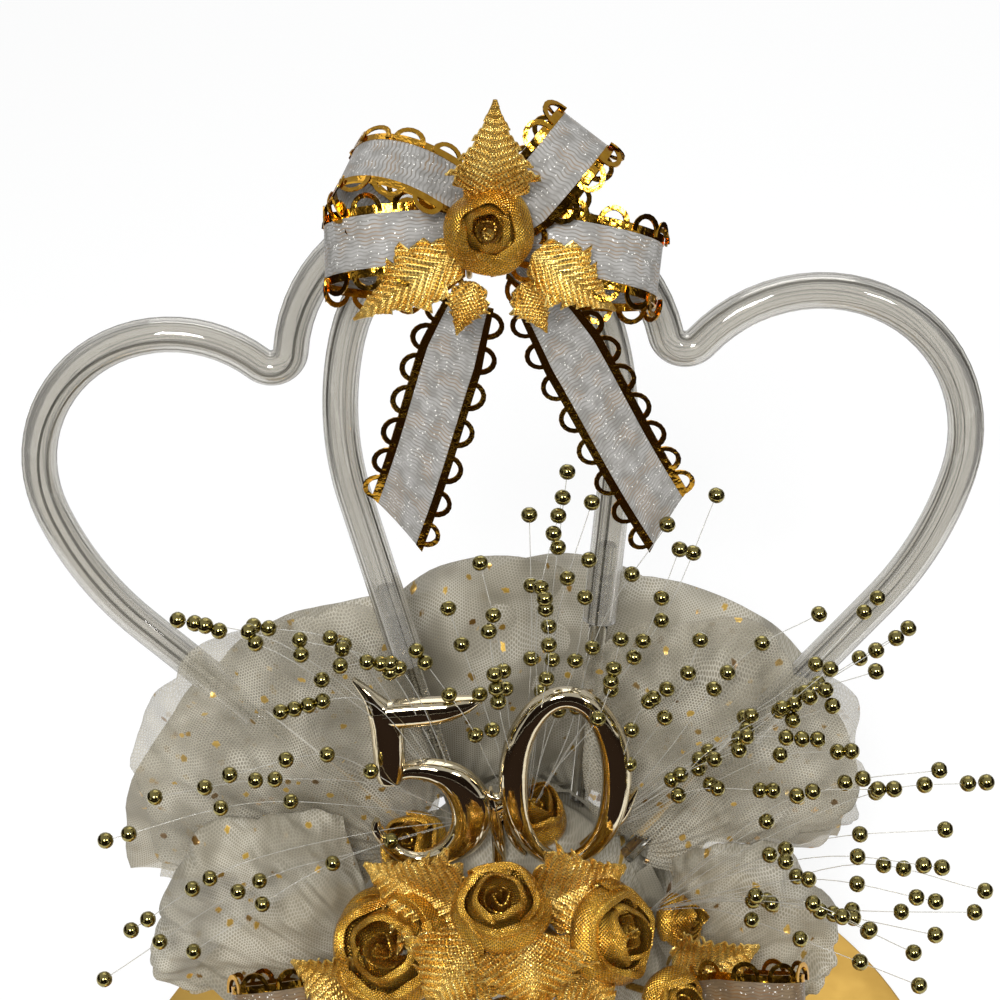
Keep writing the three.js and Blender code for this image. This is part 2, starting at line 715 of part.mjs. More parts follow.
// Loops of the bow: name, direction, length
const bowLoops = [
  ['bow_loop_left', [-1, -0.05, 0.06], 27],
  ['bow_loop_right', [1, -0.05, -0.16], 29],
  ['bow_loop_upper_left', [-0.8, 0.1, 0.52], 26],
  ['bow_loop_upper_right', [0.6, 0.1, 0.72], 24],
];
const loopBands = 12;
const bowLoopEnds = 0.12;
bowLoops.forEach(([name, out, length]) => {
  addRibbon(name, loopSurface(bowCentre, out, bowFace, length, bowLoopEnds), loopBands);
});

// Tails of the bow: name, start and end from the bow's middle
const bowTails = [
  ['bow_tail_left', [-3.5, -5.5, -9], [-18.2, -9.5, -50]],
  ['bow_tail_right', [8, -5.5, -9], [29.4, -9.5, -52]],
];
const tailBands = 8;
const tailWave = 1.2;
bowTails.forEach(([name, from, to]) => {
  const start = bowCentre.clone().add(at(from));
  const way = at(to).sub(at(from));
  const across = way.clone().normalize().cross(vec(0, -1, 0)).normalize();
  addRibbon(name, (u, v) => start.clone()
    .addScaledVector(way, v)
    .addScaledVector(across, (u - 0.5) * ribbonWidth)
    .add(vec(0, tailWave * Math.sin(fullTurn * v), 0)), tailBands);
});

// Ribbon loops beside the roses at the foot: name, place of the start, direction, length
const footLoops = [
  ['foot_loop_left', [-0.859, -0.5, 0.65], [-0.82, -0.42, 0.3], 23],
  ['foot_loop_right', [0.829, -0.5, 0.6], [0.82, -0.42, 0.3], 23],
];
const footLoopEnds = 0.04;
footLoops.forEach(([name, place, out, length]) => {
  addRibbon(name, loopSurface(moundPlace(place), out, leafFace, length, footLoopEnds), loopBands);
});

// Bead sprays: filaments that fan out of one stem, with beads along them.
// Each fans about way, by spread degrees across and rise degrees up and down, and bends towards its tips.
const sprays = [
  {
    name: 'spray_left', root: [-0.237, -0.079, 1.039], way: [-0.85, 0.12, 0.5], bend: [0, -22, -14],
    count: 6, spread: 2, rise: 26, reach: 62,
  },
  {
    name: 'spray_top', root: [0.053, -0.08, 1.024], way: [0.1, 0.21, 1], bend: [0, 0, -4],
    count: 6, spread: 1.5, rise: 30, reach: 64,
  },
  {
    name: 'spray_right', root: [0.37, -0.11, 0.98], way: [0.85, -0.1, 0.52], bend: [0, -12, -6],
    count: 6, spread: 6, rise: 26, reach: 68,
  },
  {
    name: 'spray_forward_right', root: [0.632, -0.316, 0.81], way: [0.88, -0.36, 0.3], bend: [0, -4, -8],
    count: 6, spread: 10, rise: 26, reach: 60,
  },
];
const beadShares = [0.55, 0.78, 1];
const swingTurn = 2.4;
const reachTurn = 1.7;
const reachShortest = 0.72;

// The middle line of one filament, from its root at 0 to its tip at 1.
function filamentLine(spray, index) {
  const way = at(spray.way).normalize();
  const across = way.clone().cross(vec(0, 1, 0)).normalize();
  const level = way.clone().cross(across).normalize();
  const turn = rad(spray.rise) * (2 * index / (spray.count - 1) - 1);
  const swing = rad(spray.spread) * Math.cos(index * swingTurn);
  const out = way.clone()
    .addScaledVector(across, Math.tan(turn))
    .addScaledVector(level, Math.tan(swing))
    .normalize();
  const varied = (1 + Math.sin(index * reachTurn)) / 2;
  const length = spray.reach * (reachShortest + (1 - reachShortest) * varied);
  return (t) => moundPlace(spray.root)
    .addScaledVector(out, length * t)
    .addScaledVector(at(spray.bend), t * t);
}

// One filament: a thin tube that swells to a bead at each share of its length.
const beadSides = 5;
function filamentSolid(spray, index, grow) {
  const line = filamentLine(spray, index);
  const half = (beadDiameter / 2 + grow) / line(0).distanceTo(line(1));
  const thin = filamentDiameter / 2 + grow;
  const stations = [[0, thin]];
  beadShares.forEach((share) => {
    stations.push([share - half, thin], [share, beadDiameter / 2 + grow], [share + half, thin]);
  });
  return sweepSolid(stations.map(([t]) => line(t)), stations.map(([, radius]) => radius), beadSides);
}

function spraySolid(spray, grow) {
  return joined(Array.from({ length: spray.count }, (unused, index) => filamentSolid(spray, index, grow)));
}

sprays.forEach((spray) => {
  const root = moundPlace(spray.root);
  const inward = moundNormal(root).negate();
  addStemmed(spray.name, spraySolid(spray, 0), spraySolid(spray, pieceGap), root, inward, beadGold);
});

// Tulle: fans gathered at a place of the mound, with flutes that grow towards the rim.
// Each opens along way, in the plane that face looks out of; cup bends the rim towards face.
const tullePuffs = [
  {
    name: 'tulle_left_upper', gather: [-0.53, -0.03, 0.87], way: [-0.62, 0.05, 0.78], face: [0, -1, 0.2],
    reach: 66, opening: 34, flutes: 6, depth: 3, cup: 0,
  },
  {
    name: 'tulle_left_lower', gather: [-0.8, -0.26, 0.6], way: [-0.86, 0.1, 0.5], face: [0, -1, 0.3],
    reach: 43, opening: 36, flutes: 6, depth: 3, cup: 0,
  },
  {
    name: 'tulle_right_upper', gather: [0.55, -0.12, 0.87], way: [0.62, 0.06, 0.78], face: [0, -1, 0.2],
    reach: 56, opening: 34, flutes: 6, depth: 3, cup: 0,
  },
  {
    name: 'tulle_right_lower', gather: [0.86, -0.2, 0.53], way: [0.86, 0.1, 0.5], face: [0, -1, 0.3],
    reach: 31, opening: 42, flutes: 6, depth: 3, cup: 0,
  },
  {
    name: 'tulle_back_left', gather: [-0.316, 0.7, 0.7], way: [-0.22, 0.05, 1], face: [0, -1, 0.2],
    reach: 62, opening: 36, flutes: 6, depth: 3, cup: -3,
  },
  {
    name: 'tulle_back_right', gather: [0.368, 0.7, 0.7], way: [0.3, 0.05, 1], face: [0, -1, 0.2],
    reach: 62, opening: 36, flutes: 6, depth: 3, cup: -8,
  },
  {
    name: 'tulle_back_low_left', gather: [-0.53, 0.85, 0.353], way: [-0.7, 0.6, 0.45], face: [0.3, 1, 0.6],
    reach: 42, opening: 52, flutes: 6, depth: 3, cup: -6,
  },
  {
    name: 'tulle_back_low_right', gather: [0.53, 0.85, 0.353], way: [0.7, 0.6, 0.45], face: [-0.3, 1, 0.6],
    reach: 42, opening: 52, flutes: 6, depth: 3, cup: -6,
  },
  {
    name: 'tulle_front_low_left', gather: [-0.5, -0.96, 0.24], way: [-0.6, -0.75, 0.1], face: [0, -0.3, 1],
    reach: 40, opening: 46, flutes: 5, depth: 3, cup: -7,
  },
  {
    name: 'tulle_front_low_right', gather: [0.5, -0.96, 0.24], way: [0.6, -0.75, 0.1], face: [0, -0.3, 1],
    reach: 40, opening: 46, flutes: 5, depth: 3, cup: -7,
  },
];
const tulleGatherReach = 0.09;
const tulleRound = 0.18;
const tulleScallop = 0.02;
const tulleStemAt = 0.06;
const tulleFluteSteps = 4;
const tulleBands = 2;
function tulleSurface(puff) {
  const way = at(puff.way).normalize();
  const across = way.clone().cross(at(puff.face)).normalize();
  const front = across.clone().cross(way).normalize();
  return (u, v) => {
    const side = 2 * u - 1;
    const turn = side * rad(puff.opening);
    const flute = Math.cos(fullTurn * puff.flutes * u);
    const share = tulleGatherReach + (1 - tulleGatherReach) * v;
    const reach = share * puff.reach * (1 - tulleRound * side ** 2 + tulleScallop * flute);
    return moundPlace(puff.gather)
      .addScaledVector(way, reach * Math.cos(turn))
      .addScaledVector(across, reach * Math.sin(turn))
      .addScaledVector(front, puff.depth * share * v * flute + puff.cup * share ** 2);
  };
}

tullePuffs.forEach((puff) => {
  const surface = tulleSurface(puff);
  const inward = moundNormal(moundPlace(puff.gather)).negate();
  const columns = puff.flutes * tulleFluteSteps;
  const sheet = sheetSolid(surface, columns, tulleBands, tulleThickness);
  const sheetRoom = sheetSolid(surface, columns, tulleBands, tulleThickness + 2 * pieceGap);
  addStemmed(puff.name, sheet, sheetRoom, surface(0.5, tulleStemAt), inward, tulleNet);
});

const mound = mainBody(moundSolid(0).subtract(joined([...stemHoles, ...pegHoles])));

addPiece('base_disc', disc, goldMirror);
addPiece('foam_mound', mound, foamWhite);
pieces.forEach(([name, solid, material]) => addPiece(name, solid, material));

export default topper;
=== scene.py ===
"""Anniversary cake topper: the looks of every piece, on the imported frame."""
import logging
import math
import random
from dataclasses import dataclass
from enum import Enum
from typing import Any, Callable, Sequence

import bpy
from mathutils import Matrix, Vector, noise


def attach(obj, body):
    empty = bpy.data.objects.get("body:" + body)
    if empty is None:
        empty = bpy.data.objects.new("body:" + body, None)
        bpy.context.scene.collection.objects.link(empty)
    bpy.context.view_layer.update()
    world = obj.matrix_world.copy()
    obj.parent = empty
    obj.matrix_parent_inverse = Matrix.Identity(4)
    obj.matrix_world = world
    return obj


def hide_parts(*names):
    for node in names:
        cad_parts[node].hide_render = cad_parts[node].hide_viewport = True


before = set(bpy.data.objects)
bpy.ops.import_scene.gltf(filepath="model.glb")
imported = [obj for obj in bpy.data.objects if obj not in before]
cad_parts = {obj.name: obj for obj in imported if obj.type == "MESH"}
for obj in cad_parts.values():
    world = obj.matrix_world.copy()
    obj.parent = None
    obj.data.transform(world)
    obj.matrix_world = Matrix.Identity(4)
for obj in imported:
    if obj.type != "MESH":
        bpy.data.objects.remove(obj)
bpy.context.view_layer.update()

LOG = logging.getLogger("topper")
MM = 0.001
TURN = 2 * math.pi

# Sizes that several pieces share, in millimetres and degrees
GAP = 0.3
LEAN = 12
STEM_DIAMETER = 1.4
STEM_DEPTH = 7
RIBBON_WIDTH = 15.6

Point = tuple[float, float, float]
# A surface gives the point in millimetres for u across and v along, both from 0 to 1
Surface = Callable[[float, float], Vector]
Piece = bpy.types.Object
Tree = bpy.types.NodeTree
Node = bpy.types.Node
Socket = bpy.types.NodeSocket


class Slot(Enum):
    """Material slots of the record."""

    DISC = "gold_disc"
    FOAM = "white_foam"
    ACRYLIC = "clear_acrylic"
    PLATED = "gold_plated_plastic"
    WIRE = "gold_wire"
    RIBBON = "sheer_ribbon"
    TULLE = "tulle_net"
    BEADS = "gold_beads"
    LAME = "gold_lame"


# Colours and nodes

def linear(code: str) -> tuple[float, float, float, float]:
    """A colour as the shaders take it.

    Args:
        code: sRGB hex value such as "#D9A23A".

    Returns:
        Linear red, green and blue, with full alpha.
    """
    channels = [int(code[k:k + 2], 16) / 255 for k in (1, 3, 5)]
    red, green, blue = (c / 12.92 if c <= 0.04045 else ((c + 0.055) / 1.055) ** 2.4 for c in channels)
    return red, green, blue, 1.0


def add_node(tree: Tree, kind: str, inputs: dict[str, Any] | Sequence[Any] = (), **settings: Any) -> Node:
    """Adds a node with its settings and links.

    Args:
        tree: the material's node tree.
        kind: the node's type name, without the start that all of them share.
        inputs: what goes into the inputs, by name or in their order. It is a value, a hex colour, a socket
            to link, or a node whose first result is linked.
        settings: the node's own properties.

    Returns:
        The new node.
    """
    node = tree.nodes.new(f"ShaderNode{kind}")
    for key, value in settings.items():
        setattr(node, key, value)
    if not isinstance(inputs, dict):
        inputs = dict(zip((k for k, socket in enumerate(node.inputs) if socket.enabled), inputs))
    for key, value in inputs.items():
        if isinstance(value, str):
            value = linear(value)
        if isinstance(value, Node):
            value = next(result for result in value.outputs if result.enabled)
        if isinstance(value, Socket):
            tree.links.new(value, node.inputs[key])
        else:
            node.inputs[key].default_value = value
    return node


def thread_wave(tree: Tree, along: Node | Socket, pitch: float) -> Node:
    """A smooth wave from -1 to 1 that repeats every pitch.

    Args:
        tree: the material's node tree.
        along: the coordinate that the wave runs along.
        pitch: the wave's length in that coordinate's unit.

    Returns:
        The wave's node.
    """
    angle = add_node(tree, "Math", (along, TURN / pitch), operation="MULTIPLY")
    return add_node(tree, "Math", (angle,), operation="SINE")


# Finishes

@dataclass(frozen=True)
class Finish:
    """A surface finish that makes its material the first time it is needed."""

    name: str = "finish"

    def material(self) -> bpy.types.Material:
        """The finish's material."""
        known = bpy.data.materials.get(self.name)
        if known is not None:
            return known
        made = bpy.data.materials.new(self.name)
        made.use_nodes = True
        made.node_tree.nodes.clear()
        add_node(made.node_tree, "OutputMaterial", {"Surface": self.shade(made.node_tree)})
        return made

    def shade(self, tree: Tree) -> Node:
        """Builds the finish's nodes and gives the shader's node."""
        raise NotImplementedError


@dataclass(frozen=True)
class MirrorAcrylic(Finish):
    """Gold-backed acrylic sheet: a soft mirror with faint smears from handling."""

    name: str = "gold mirror acrylic sheet, polished"
    gold: str = "#CDA758"
    worn: str = "#B88E3F"
    smear_mm: float = 14.0

    def shade(self, tree: Tree) -> Node:
        """Metal whose roughness and tone drift slowly over the sheet."""
        place = add_node(tree, "TexCoord").outputs["Object"]
        smear = add_node(tree, "TexNoise", {
            "Vector": place, "Scale": 1 / (self.smear_mm * MM), "Detail": 5, "Roughness": 0.6,
        })
        tone = add_node(tree, "Mix", (smear, self.gold, self.worn), data_type="RGBA")
        rough = add_node(tree, "MapRange", (smear, 0.3, 0.7, 0.3, 0.46))
        return add_node(tree, "BsdfPrincipled", {"Base Color": tone, "Metallic": 1, "Roughness": rough})


@dataclass(frozen=True)
class ExpandedFoam(Finish):
    """Moulded polystyrene foam: white beads pressed together, with fine grooves between them."""

    name: str = "expanded polystyrene, moulded"
    white: str = "#EDEBE4"
    groove: str = "#E0DDD4"
    bead_mm: float = 2.6

    def shade(self, tree: Tree) -> Node:
        """White with shallow grooves on the borders of the foam's beads."""
        place = add_node(tree, "TexCoord").outputs["Object"]
        edge = add_node(tree, "TexVoronoi", {"Vector": place, "Scale": 1 / (self.bead_mm * MM)},
                        feature="DISTANCE_TO_EDGE")
        rise = add_node(tree, "MapRange", (edge, 0, 0.18))
        bump = add_node(tree, "Bump", {"Height": rise, "Strength": 0.5, "Distance": 0.3 * MM})
        tone = add_node(tree, "Mix", (rise, self.groove, self.white), data_type="RGBA")
        return add_node(tree, "BsdfPrincipled", {"Base Color": tone, "Roughness": 0.85, "Normal": bump})


@dataclass(frozen=True)
class ClearAcrylic(Finish):
    """Extruded acrylic tube: clear and slightly grey, with painted dark rims and draw lines along it whose
    dark colour is painted shade.
    """

    name: str = "acrylic tube, extruded clear"
    tint: str = "#E1DED6"
    # rim: painted dark colour of the grazing edges, where the real tube looks dark
    rim: str = "#5F5C55"
    painted_line_shade: str = "#7C7972"
    draw_line_mm: float = 0.9
    clarity: float = 0.8

    def shade(self, tree: Tree) -> Node:
        """Clear plastic with draw lines that run along the tube, their dark colour painted shade, and painted
        dark rims.
        """
        place = add_node(tree, "TexCoord").outputs["UV"]
        around = add_node(tree, "SeparateXYZ", (place,)).outputs["X"]
        drawn = add_node(tree, "TexNoise", {"W": around, "Scale": 1 / self.draw_line_mm, "Detail": 2},
                         noise_dimensions="1D")
        bump = add_node(tree, "Bump", {"Height": drawn, "Strength": 0.12, "Distance": 0.1 * MM})
        # The draw lines' bump is real; their darker colour is painted shade.
        line = add_node(tree, "MapRange", (drawn, 0.58, 0.63))
        lined = add_node(tree, "Mix", (line, self.tint, self.painted_line_shade), data_type="RGBA")
        # Painted shade: the colour darkens towards the rims where the surface turns away from the view.
        facing = add_node(tree, "LayerWeight", {"Blend": 0.5}).outputs["Facing"]
        edge = add_node(tree, "MapRange", (facing, 0.66, 0.94))
        tone = add_node(tree, "Mix", (edge, lined, self.rim), data_type="RGBA")
        return add_node(tree, "BsdfPrincipled", {
            "Base Color": tone, "Roughness": 0.03, "IOR": 1.49, "Transmission Weight": self.clarity,
            "Normal": bump,
        })


@dataclass(frozen=True)
class PlatedPlastic(Finish):
    """Vacuum-plated styrene: a bright mirror skin with the soft ripple of moulded plastic."""

    name: str = "styrene, moulded and vacuum plated in gold"
    gold: str = "#E9DFC6"
    deep: str = "#D2C09A"
    ripple_mm: float = 1.6
    drift_mm: float = 9

    def shade(self, tree: Tree) -> Node:
        """Metal with a slight ripple and a little drift in the plating's colour."""
        place = add_node(tree, "TexCoord").outputs["Object"]
        ripple = add_node(tree, "TexNoise", {
            "Vector": place, "Scale": 1 / (self.ripple_mm * MM), "Detail": 1,
        })
        bump = add_node(tree, "Bump", {"Height": ripple, "Strength": 0.15, "Distance": 0.12 * MM})
        drift = add_node(tree, "TexNoise", {"Vector": place, "Scale": 1 / (self.drift_mm * MM), "Detail": 2})
        tone = add_node(tree, "Mix", (drift, self.gold, self.deep), data_type="RGBA")
        rough = add_node(tree, "MapRange", (drift, 0.3, 0.7, 0.04, 0.1))
        return add_node(tree, "BsdfPrincipled", {
            "Base Color": tone, "Metallic": 1, "Roughness": rough, "Normal": bump,
        })


@dataclass(frozen=True)
class WovenLame(Finish):
    """Plain woven cloth of metallised yarn: gold with a fine square grain.

    Its colour holds painted light and shade in soft patches, painted shade between the yarns and painted
    glints on some yarns. The real yarns are about 0.25 mm apart, and are drawn wider to show.
    """

    name: str = "gold lame, plain woven metallised yarn"
    # bright and shadow are a lit and a shaded copy of the gold, gap is painted shade and glint a painted
    # highlight
    bright: str = "#FFDE80"
    shadow: str = "#D8AA48"
    gap: str = "#6C4814"
    glint: str = "#FFE696"
    yarn_mm: float = 0.38
    painted_light_patch_mm: float = 5
    roughness: float = 0.32
    sparkle: float = 0.4

    def shade(self, tree: Tree) -> Node:
        """Metal whose height and gloss follow the crossing yarns, and whose colour holds painted light, shade
        and glints.
        """
        places = add_node(tree, "TexCoord").outputs
        split = add_node(tree, "SeparateXYZ", (places["UV"],)).outputs
        warp, weft = (thread_wave(tree, split[axis], 2 * self.yarn_mm) for axis in "XY")
        crossing = add_node(tree, "Math", (warp, weft), operation="MULTIPLY")
        grain = add_node(tree, "MapRange", (crossing, -0.7, 0.7))
        yarn = add_node(tree, "TexVoronoi", {
            "Vector": places["UV"], "Scale": 1 / self.yarn_mm, "Randomness": 0.3,
        }).outputs["Color"]
        spark = add_node(tree, "SeparateXYZ", (yarn,)).outputs["X"]
        # Painted light and shade: a soft noise mixes the lit and the shaded copy of the gold.
        painted_light_patch = add_node(tree, "TexNoise", {
            "Vector": places["Object"], "Scale": 1 / (self.painted_light_patch_mm * MM), "Detail": 3,
        })
        light = add_node(tree, "MapRange", (painted_light_patch, 0.35, 0.65))
        cloth = add_node(tree, "Mix", (light, self.shadow, self.bright), data_type="RGBA")
        # Painted shade in the hollows between the yarns.
        painted_hollow_shade = add_node(tree, "MapRange", (grain, 0, 0.45, 0.85, 0))
        yarns = add_node(tree, "Mix", (painted_hollow_shade, cloth, self.gap), data_type="RGBA")
        # Painted glints: some yarns get a pale glint colour.
        glow = add_node(tree, "MapRange", (spark, 0.75, 0.95, 0, self.sparkle))
        lit = add_node(tree, "Mix", (glow, yarns, self.glint), data_type="RGBA")
        bump = add_node(tree, "Bump", {"Height": grain, "Strength": 0.6, "Distance": 0.16 * MM})
        dull, glossy = self.roughness + 0.06, self.roughness - 0.3 * self.sparkle
        rough = add_node(tree, "MapRange", (spark, 0.3, 0.95, dull, glossy))
        return add_node(tree, "BsdfPrincipled", {
            "Base Color": lit, "Metallic": 0.84, "Roughness": rough, "Normal": bump,
        })


@dataclass(frozen=True)
class SheerRibbon(Finish):
    """Sheer organza ribbon: a pale see-through band with wavy yarns along it and a few copper ones."""

    name: str = "organza ribbon, woven polyester with wavy yarns"
    pale: str = "#A09E9A"
    yarn: str = "#69665F"
    copper: str = "#82705A"
    # glint is the painted highlight colour of the glitter specks
    glint: str = "#FFFDF6"
    yarn_mm: float = 0.62
    wave_mm: float = 2.4
    sway_mm: float = 0.12
    wander_mm: float = 0.9
    zone_mm: float = 4.5
    patch_mm: float = 2.6
    glitter_mm: float = 0.17

    def shade(self, tree: Tree) -> Node:
        """Pale cloth with wavy darker yarns, copper in places, and glitter specks with a painted glint."""
        place = add_node(tree, "TexCoord").outputs["UV"]
        split = add_node(tree, "SeparateXYZ", (place,)).outputs
        sway = thread_wave(tree, split["Y"], self.wave_mm)
        drift = add_node(tree, "Math", (sway, self.sway_mm, split["X"]), operation="MULTIPLY_ADD")
        zone = add_node(tree, "TexNoise", {"Vector": place, "Scale": 1 / self.zone_mm, "Detail": 1})
        wander = add_node(tree, "Math", (zone, self.wander_mm, drift), operation="MULTIPLY_ADD")
        lines = add_node(tree, "MapRange", (thread_wave(tree, wander, self.yarn_mm), 0.1, 0.8))
        shown = add_node(tree, "MapRange", (zone, 0.36, 0.56, 0.4, 1))
        yarns = add_node(tree, "Math", (lines, shown), operation="MULTIPLY")
        coppered = add_node(tree, "MapRange", (zone, 0.5, 0.6))
        yarn_tone = add_node(tree, "Mix", (coppered, self.yarn, self.copper), data_type="RGBA")
        patch = add_node(tree, "TexNoise", {"Vector": place, "Scale": 1 / self.patch_mm, "Detail": 2})
        dense = add_node(tree, "MapRange", (patch, 0.44, 0.62, 0, 0.5))
        ground = add_node(tree, "Mix", (dense, self.pale, self.yarn), data_type="RGBA")
        cloth = add_node(tree, "Mix", (yarns, ground, yarn_tone), data_type="RGBA")
        # Glitter specks: their white glint colour is a painted highlight, and their lower roughness is real.
        speck = add_node(tree, "TexVoronoi", {"Vector": place, "Scale": 1 / self.glitter_mm}).outputs["Color"]
        chosen = add_node(tree, "SeparateXYZ", (speck,)).outputs["X"]
        bright = add_node(tree, "MapRange", (chosen, 0.98, 0.99))
        lit = add_node(tree, "Mix", (bright, cloth, self.glint), data_type="RGBA")
        rough = add_node(tree, "MapRange", (bright, 0, 1, 0.5, 0.12))
        cover = add_node(tree, "MapRange", (yarns, 0, 1, 0.84, 0.96))
        return add_node(tree, "BsdfPrincipled", {
            "Base Color": lit, "Roughness": rough, "Sheen Weight": 0.2, "Alpha": cover,
        })


@dataclass(frozen=True)
class FoilEdge(Finish):
    """Hot-cut gold foil of the ribbon's looped edge: a thin mirror strip with small creases."""

    name: str = "gold foil edging, laminated and die cut"
    gold: str = "#D7A53B"
    dark: str = "#9A6B1C"
    crease_mm: float = 1.3

    def shade(self, tree: Tree) -> Node:
        """Mirror metal with small creases that scatter its reflections."""
        place = add_node(tree, "TexCoord").outputs["Object"]
        crease = add_node(tree, "TexNoise", {
            "Vector": place, "Scale": 1 / (self.crease_mm * MM), "Detail": 2,
        })
        bump = add_node(tree, "Bump", {"Height": crease, "Strength": 0.45, "Distance": 0.3 * MM})
        tone = add_node(tree, "Mix", (crease, self.gold, self.dark), data_type="RGBA")
        rough = add_node(tree, "MapRange", (crease, 0.3, 0.7, 0.08, 0.2))
        return add_node(tree, "BsdfPrincipled", {
            "Base Color": tone, "Metallic": 1, "Roughness": rough, "Normal": bump,
        })


@dataclass(frozen=True)
class TulleNet(Finish):
    """Nylon tulle: a fine six-sided net that goes grey where layers overlap, with painted shade in soft
    patches where it bunches, and glitter stuck to it.

    The film between the threads stands for the layers that lie close behind one another.
    """

    name: str = "nylon tulle net, knitted, glittered, bunched"
    thread: str = "#BCB6A7"
    film: str = "#A09985"
    # deep: painted shade colour of the bunched patches
    deep: str = "#6F6857"
    gold: str = "#DDB552"
    brown: str = "#6E4E22"
    hole_mm: float = 0.56
    bunch_mm: float = 11
    fleck_mm: float = 3.4
    ragged_mm: float = 0.5
    film_alpha: float = 0.72
    thread_alpha: float = 0.95

    def shade(self, tree: Tree) -> Node:
        """Threads round see-through holes, painted shade in soft patches, and flecks of glitter over some of
        them.
        """
        place = add_node(tree, "TexCoord").outputs["UV"]
        split = add_node(tree, "SeparateXYZ", (place,)).outputs
        pitch = self.hole_mm * math.sqrt(3) / 2
        total = 0.0
        for turn in (0.0, TURN / 3, 2 * TURN / 3):
            part = add_node(tree, "Math", (split["X"], math.cos(turn)), operation="MULTIPLY")
            line = add_node(tree, "Math", (split["Y"], math.sin(turn), part), operation="MULTIPLY_ADD")
            shifted = add_node(tree, "Math", (line, pitch / 4), operation="ADD")
            total = add_node(tree, "Math", (total, thread_wave(tree, shifted, pitch)), operation="ADD")
        bunched = add_node(tree, "TexNoise", {"Vector": place, "Scale": 1 / self.bunch_mm, "Detail": 2})
        shown = add_node(tree, "MapRange", (bunched, 0.38, 0.62, 0.35, 1))
        mesh = add_node(tree, "MapRange", (total, -0.75, 0.1, 1, 0))
        threads = add_node(tree, "Math", (mesh, shown), operation="MULTIPLY")
        fleck = add_node(tree, "TexVoronoi", {"Vector": place, "Scale": 1 / self.fleck_mm}).outputs
        ragged = add_node(tree, "TexNoise", {"Vector": place, "Scale": 1 / self.ragged_mm, "Detail": 2})
        near = add_node(tree, "Math", (ragged, 0.22, fleck["Distance"]), operation="MULTIPLY_ADD")
        chosen = add_node(tree, "SeparateXYZ", (fleck["Color"],)).outputs
        inside = add_node(tree, "MapRange", (near, 0.28, 0.33, 1, 0))
        some = add_node(tree, "MapRange", (chosen["X"], 0.4, 0.42))
        glitter = add_node(tree, "Math", (inside, some), operation="MULTIPLY")
        glitter_tone = add_node(tree, "Mix", (chosen["Y"], self.brown, self.gold), data_type="RGBA")
        # Painted shade: where the net bunches, its colour darkens towards the deep colour.
        shade = add_node(tree, "MapRange", (bunched, 0.34, 0.6, 0.45, 0))
        net_tone = add_node(tree, "Mix", (threads, self.film, self.thread), data_type="RGBA")
        cloth = add_node(tree, "Mix", (shade, net_tone, self.deep), data_type="RGBA")
        tone = add_node(tree, "Mix", (glitter, cloth, glitter_tone), data_type="RGBA")
        solid = add_node(tree, "Math", (threads, glitter), operation="MAXIMUM")
        return add_node(tree, "BsdfPrincipled", {
            "Base Color": tone,
            "Roughness": add_node(tree, "MapRange", (glitter, 0, 1, 0.7, 0.25)),
            "Metallic": add_node(tree, "MapRange", (glitter, 0, 1, 0, 0.5)),
            "Alpha": add_node(tree, "MapRange", (solid, 0, 1, self.film_alpha, self.thread_alpha)),
        })


@dataclass(frozen=True)
class PlatedBead(Finish):
    """Plated plastic pearl: an olive gold mirror ball with a slightly uneven skin."""

    name: str = "plastic bead, plated olive gold"
    gold: str = "#B2A568"
    olive: str = "#776D3E"
    patch_mm: float = 1.5

    def shade(self, tree: Tree) -> Node:
        """Metal that is darker in patches, with a smooth skin."""
        place = add_node(tree, "TexCoord").outputs["Object"]
        patch = add_node(tree, "TexNoise", {"Vector": place, "Scale": 1 / (self.patch_mm * MM), "Detail": 2})
        tone = add_node(tree, "Mix", (patch, self.gold, self.olive), data_type="RGBA")
        rough = add_node(tree, "MapRange", (patch, 0.3, 0.7, 0.08, 0.18))
        return add_node(tree, "BsdfPrincipled", {"Base Color": tone, "Metallic": 1, "Roughness": rough})


@dataclass(frozen=True)
class NylonFilament(Finish):
    """Drawn nylon line: a clear thread with a pale glint along it."""

    name: str = "nylon filament, drawn clear"
    clear: str = "#E6E4DC"
    milky: str = "#C9C6BA"
    stretch_mm: float = 4

    def shade(self, tree: Tree) -> Node:
        """Half clear plastic that is milky in stretches."""
        place = add_node(tree, "TexCoord").outputs["Object"]
        milk = add_node(tree, "TexNoise", {"Vector": place, "Scale": 1 / (self.stretch_mm * MM), "Detail": 1})
        tone = add_node(tree, "Mix", (milk, self.clear, self.milky), data_type="RGBA")
        return add_node(tree, "BsdfPrincipled", {
            "Base Color": tone, "Roughness": 0.18, "IOR": 1.53, "Transmission Weight": 0.65,
        })


@dataclass(frozen=True)
class BrassWire(Finish):
    """Drawn brass wire: bright gold that is dull in short stretches."""

    name: str = "brass wire, drawn"
    brass: str = "#C49A45"
    dull: str = "#8F6C28"
    wear_mm: float = 1.2

    def shade(self, tree: Tree) -> Node:
        """Metal that dulls in short stretches."""
        place = add_node(tree, "TexCoord").outputs["Object"]
        wear = add_node(tree, "TexNoise", {"Vector": place, "Scale": 1 / (self.wear_mm * MM), "Detail": 3})
        tone = add_node(tree, "Mix", (wear, self.brass, self.dull), data_type="RGBA")
        rough = add_node(tree, "MapRange", (wear, 0.3, 0.7, 0.22, 0.42))
        return add_node(tree, "BsdfPrincipled", {"Base Color": tone, "Metallic": 1, "Roughness": rough})


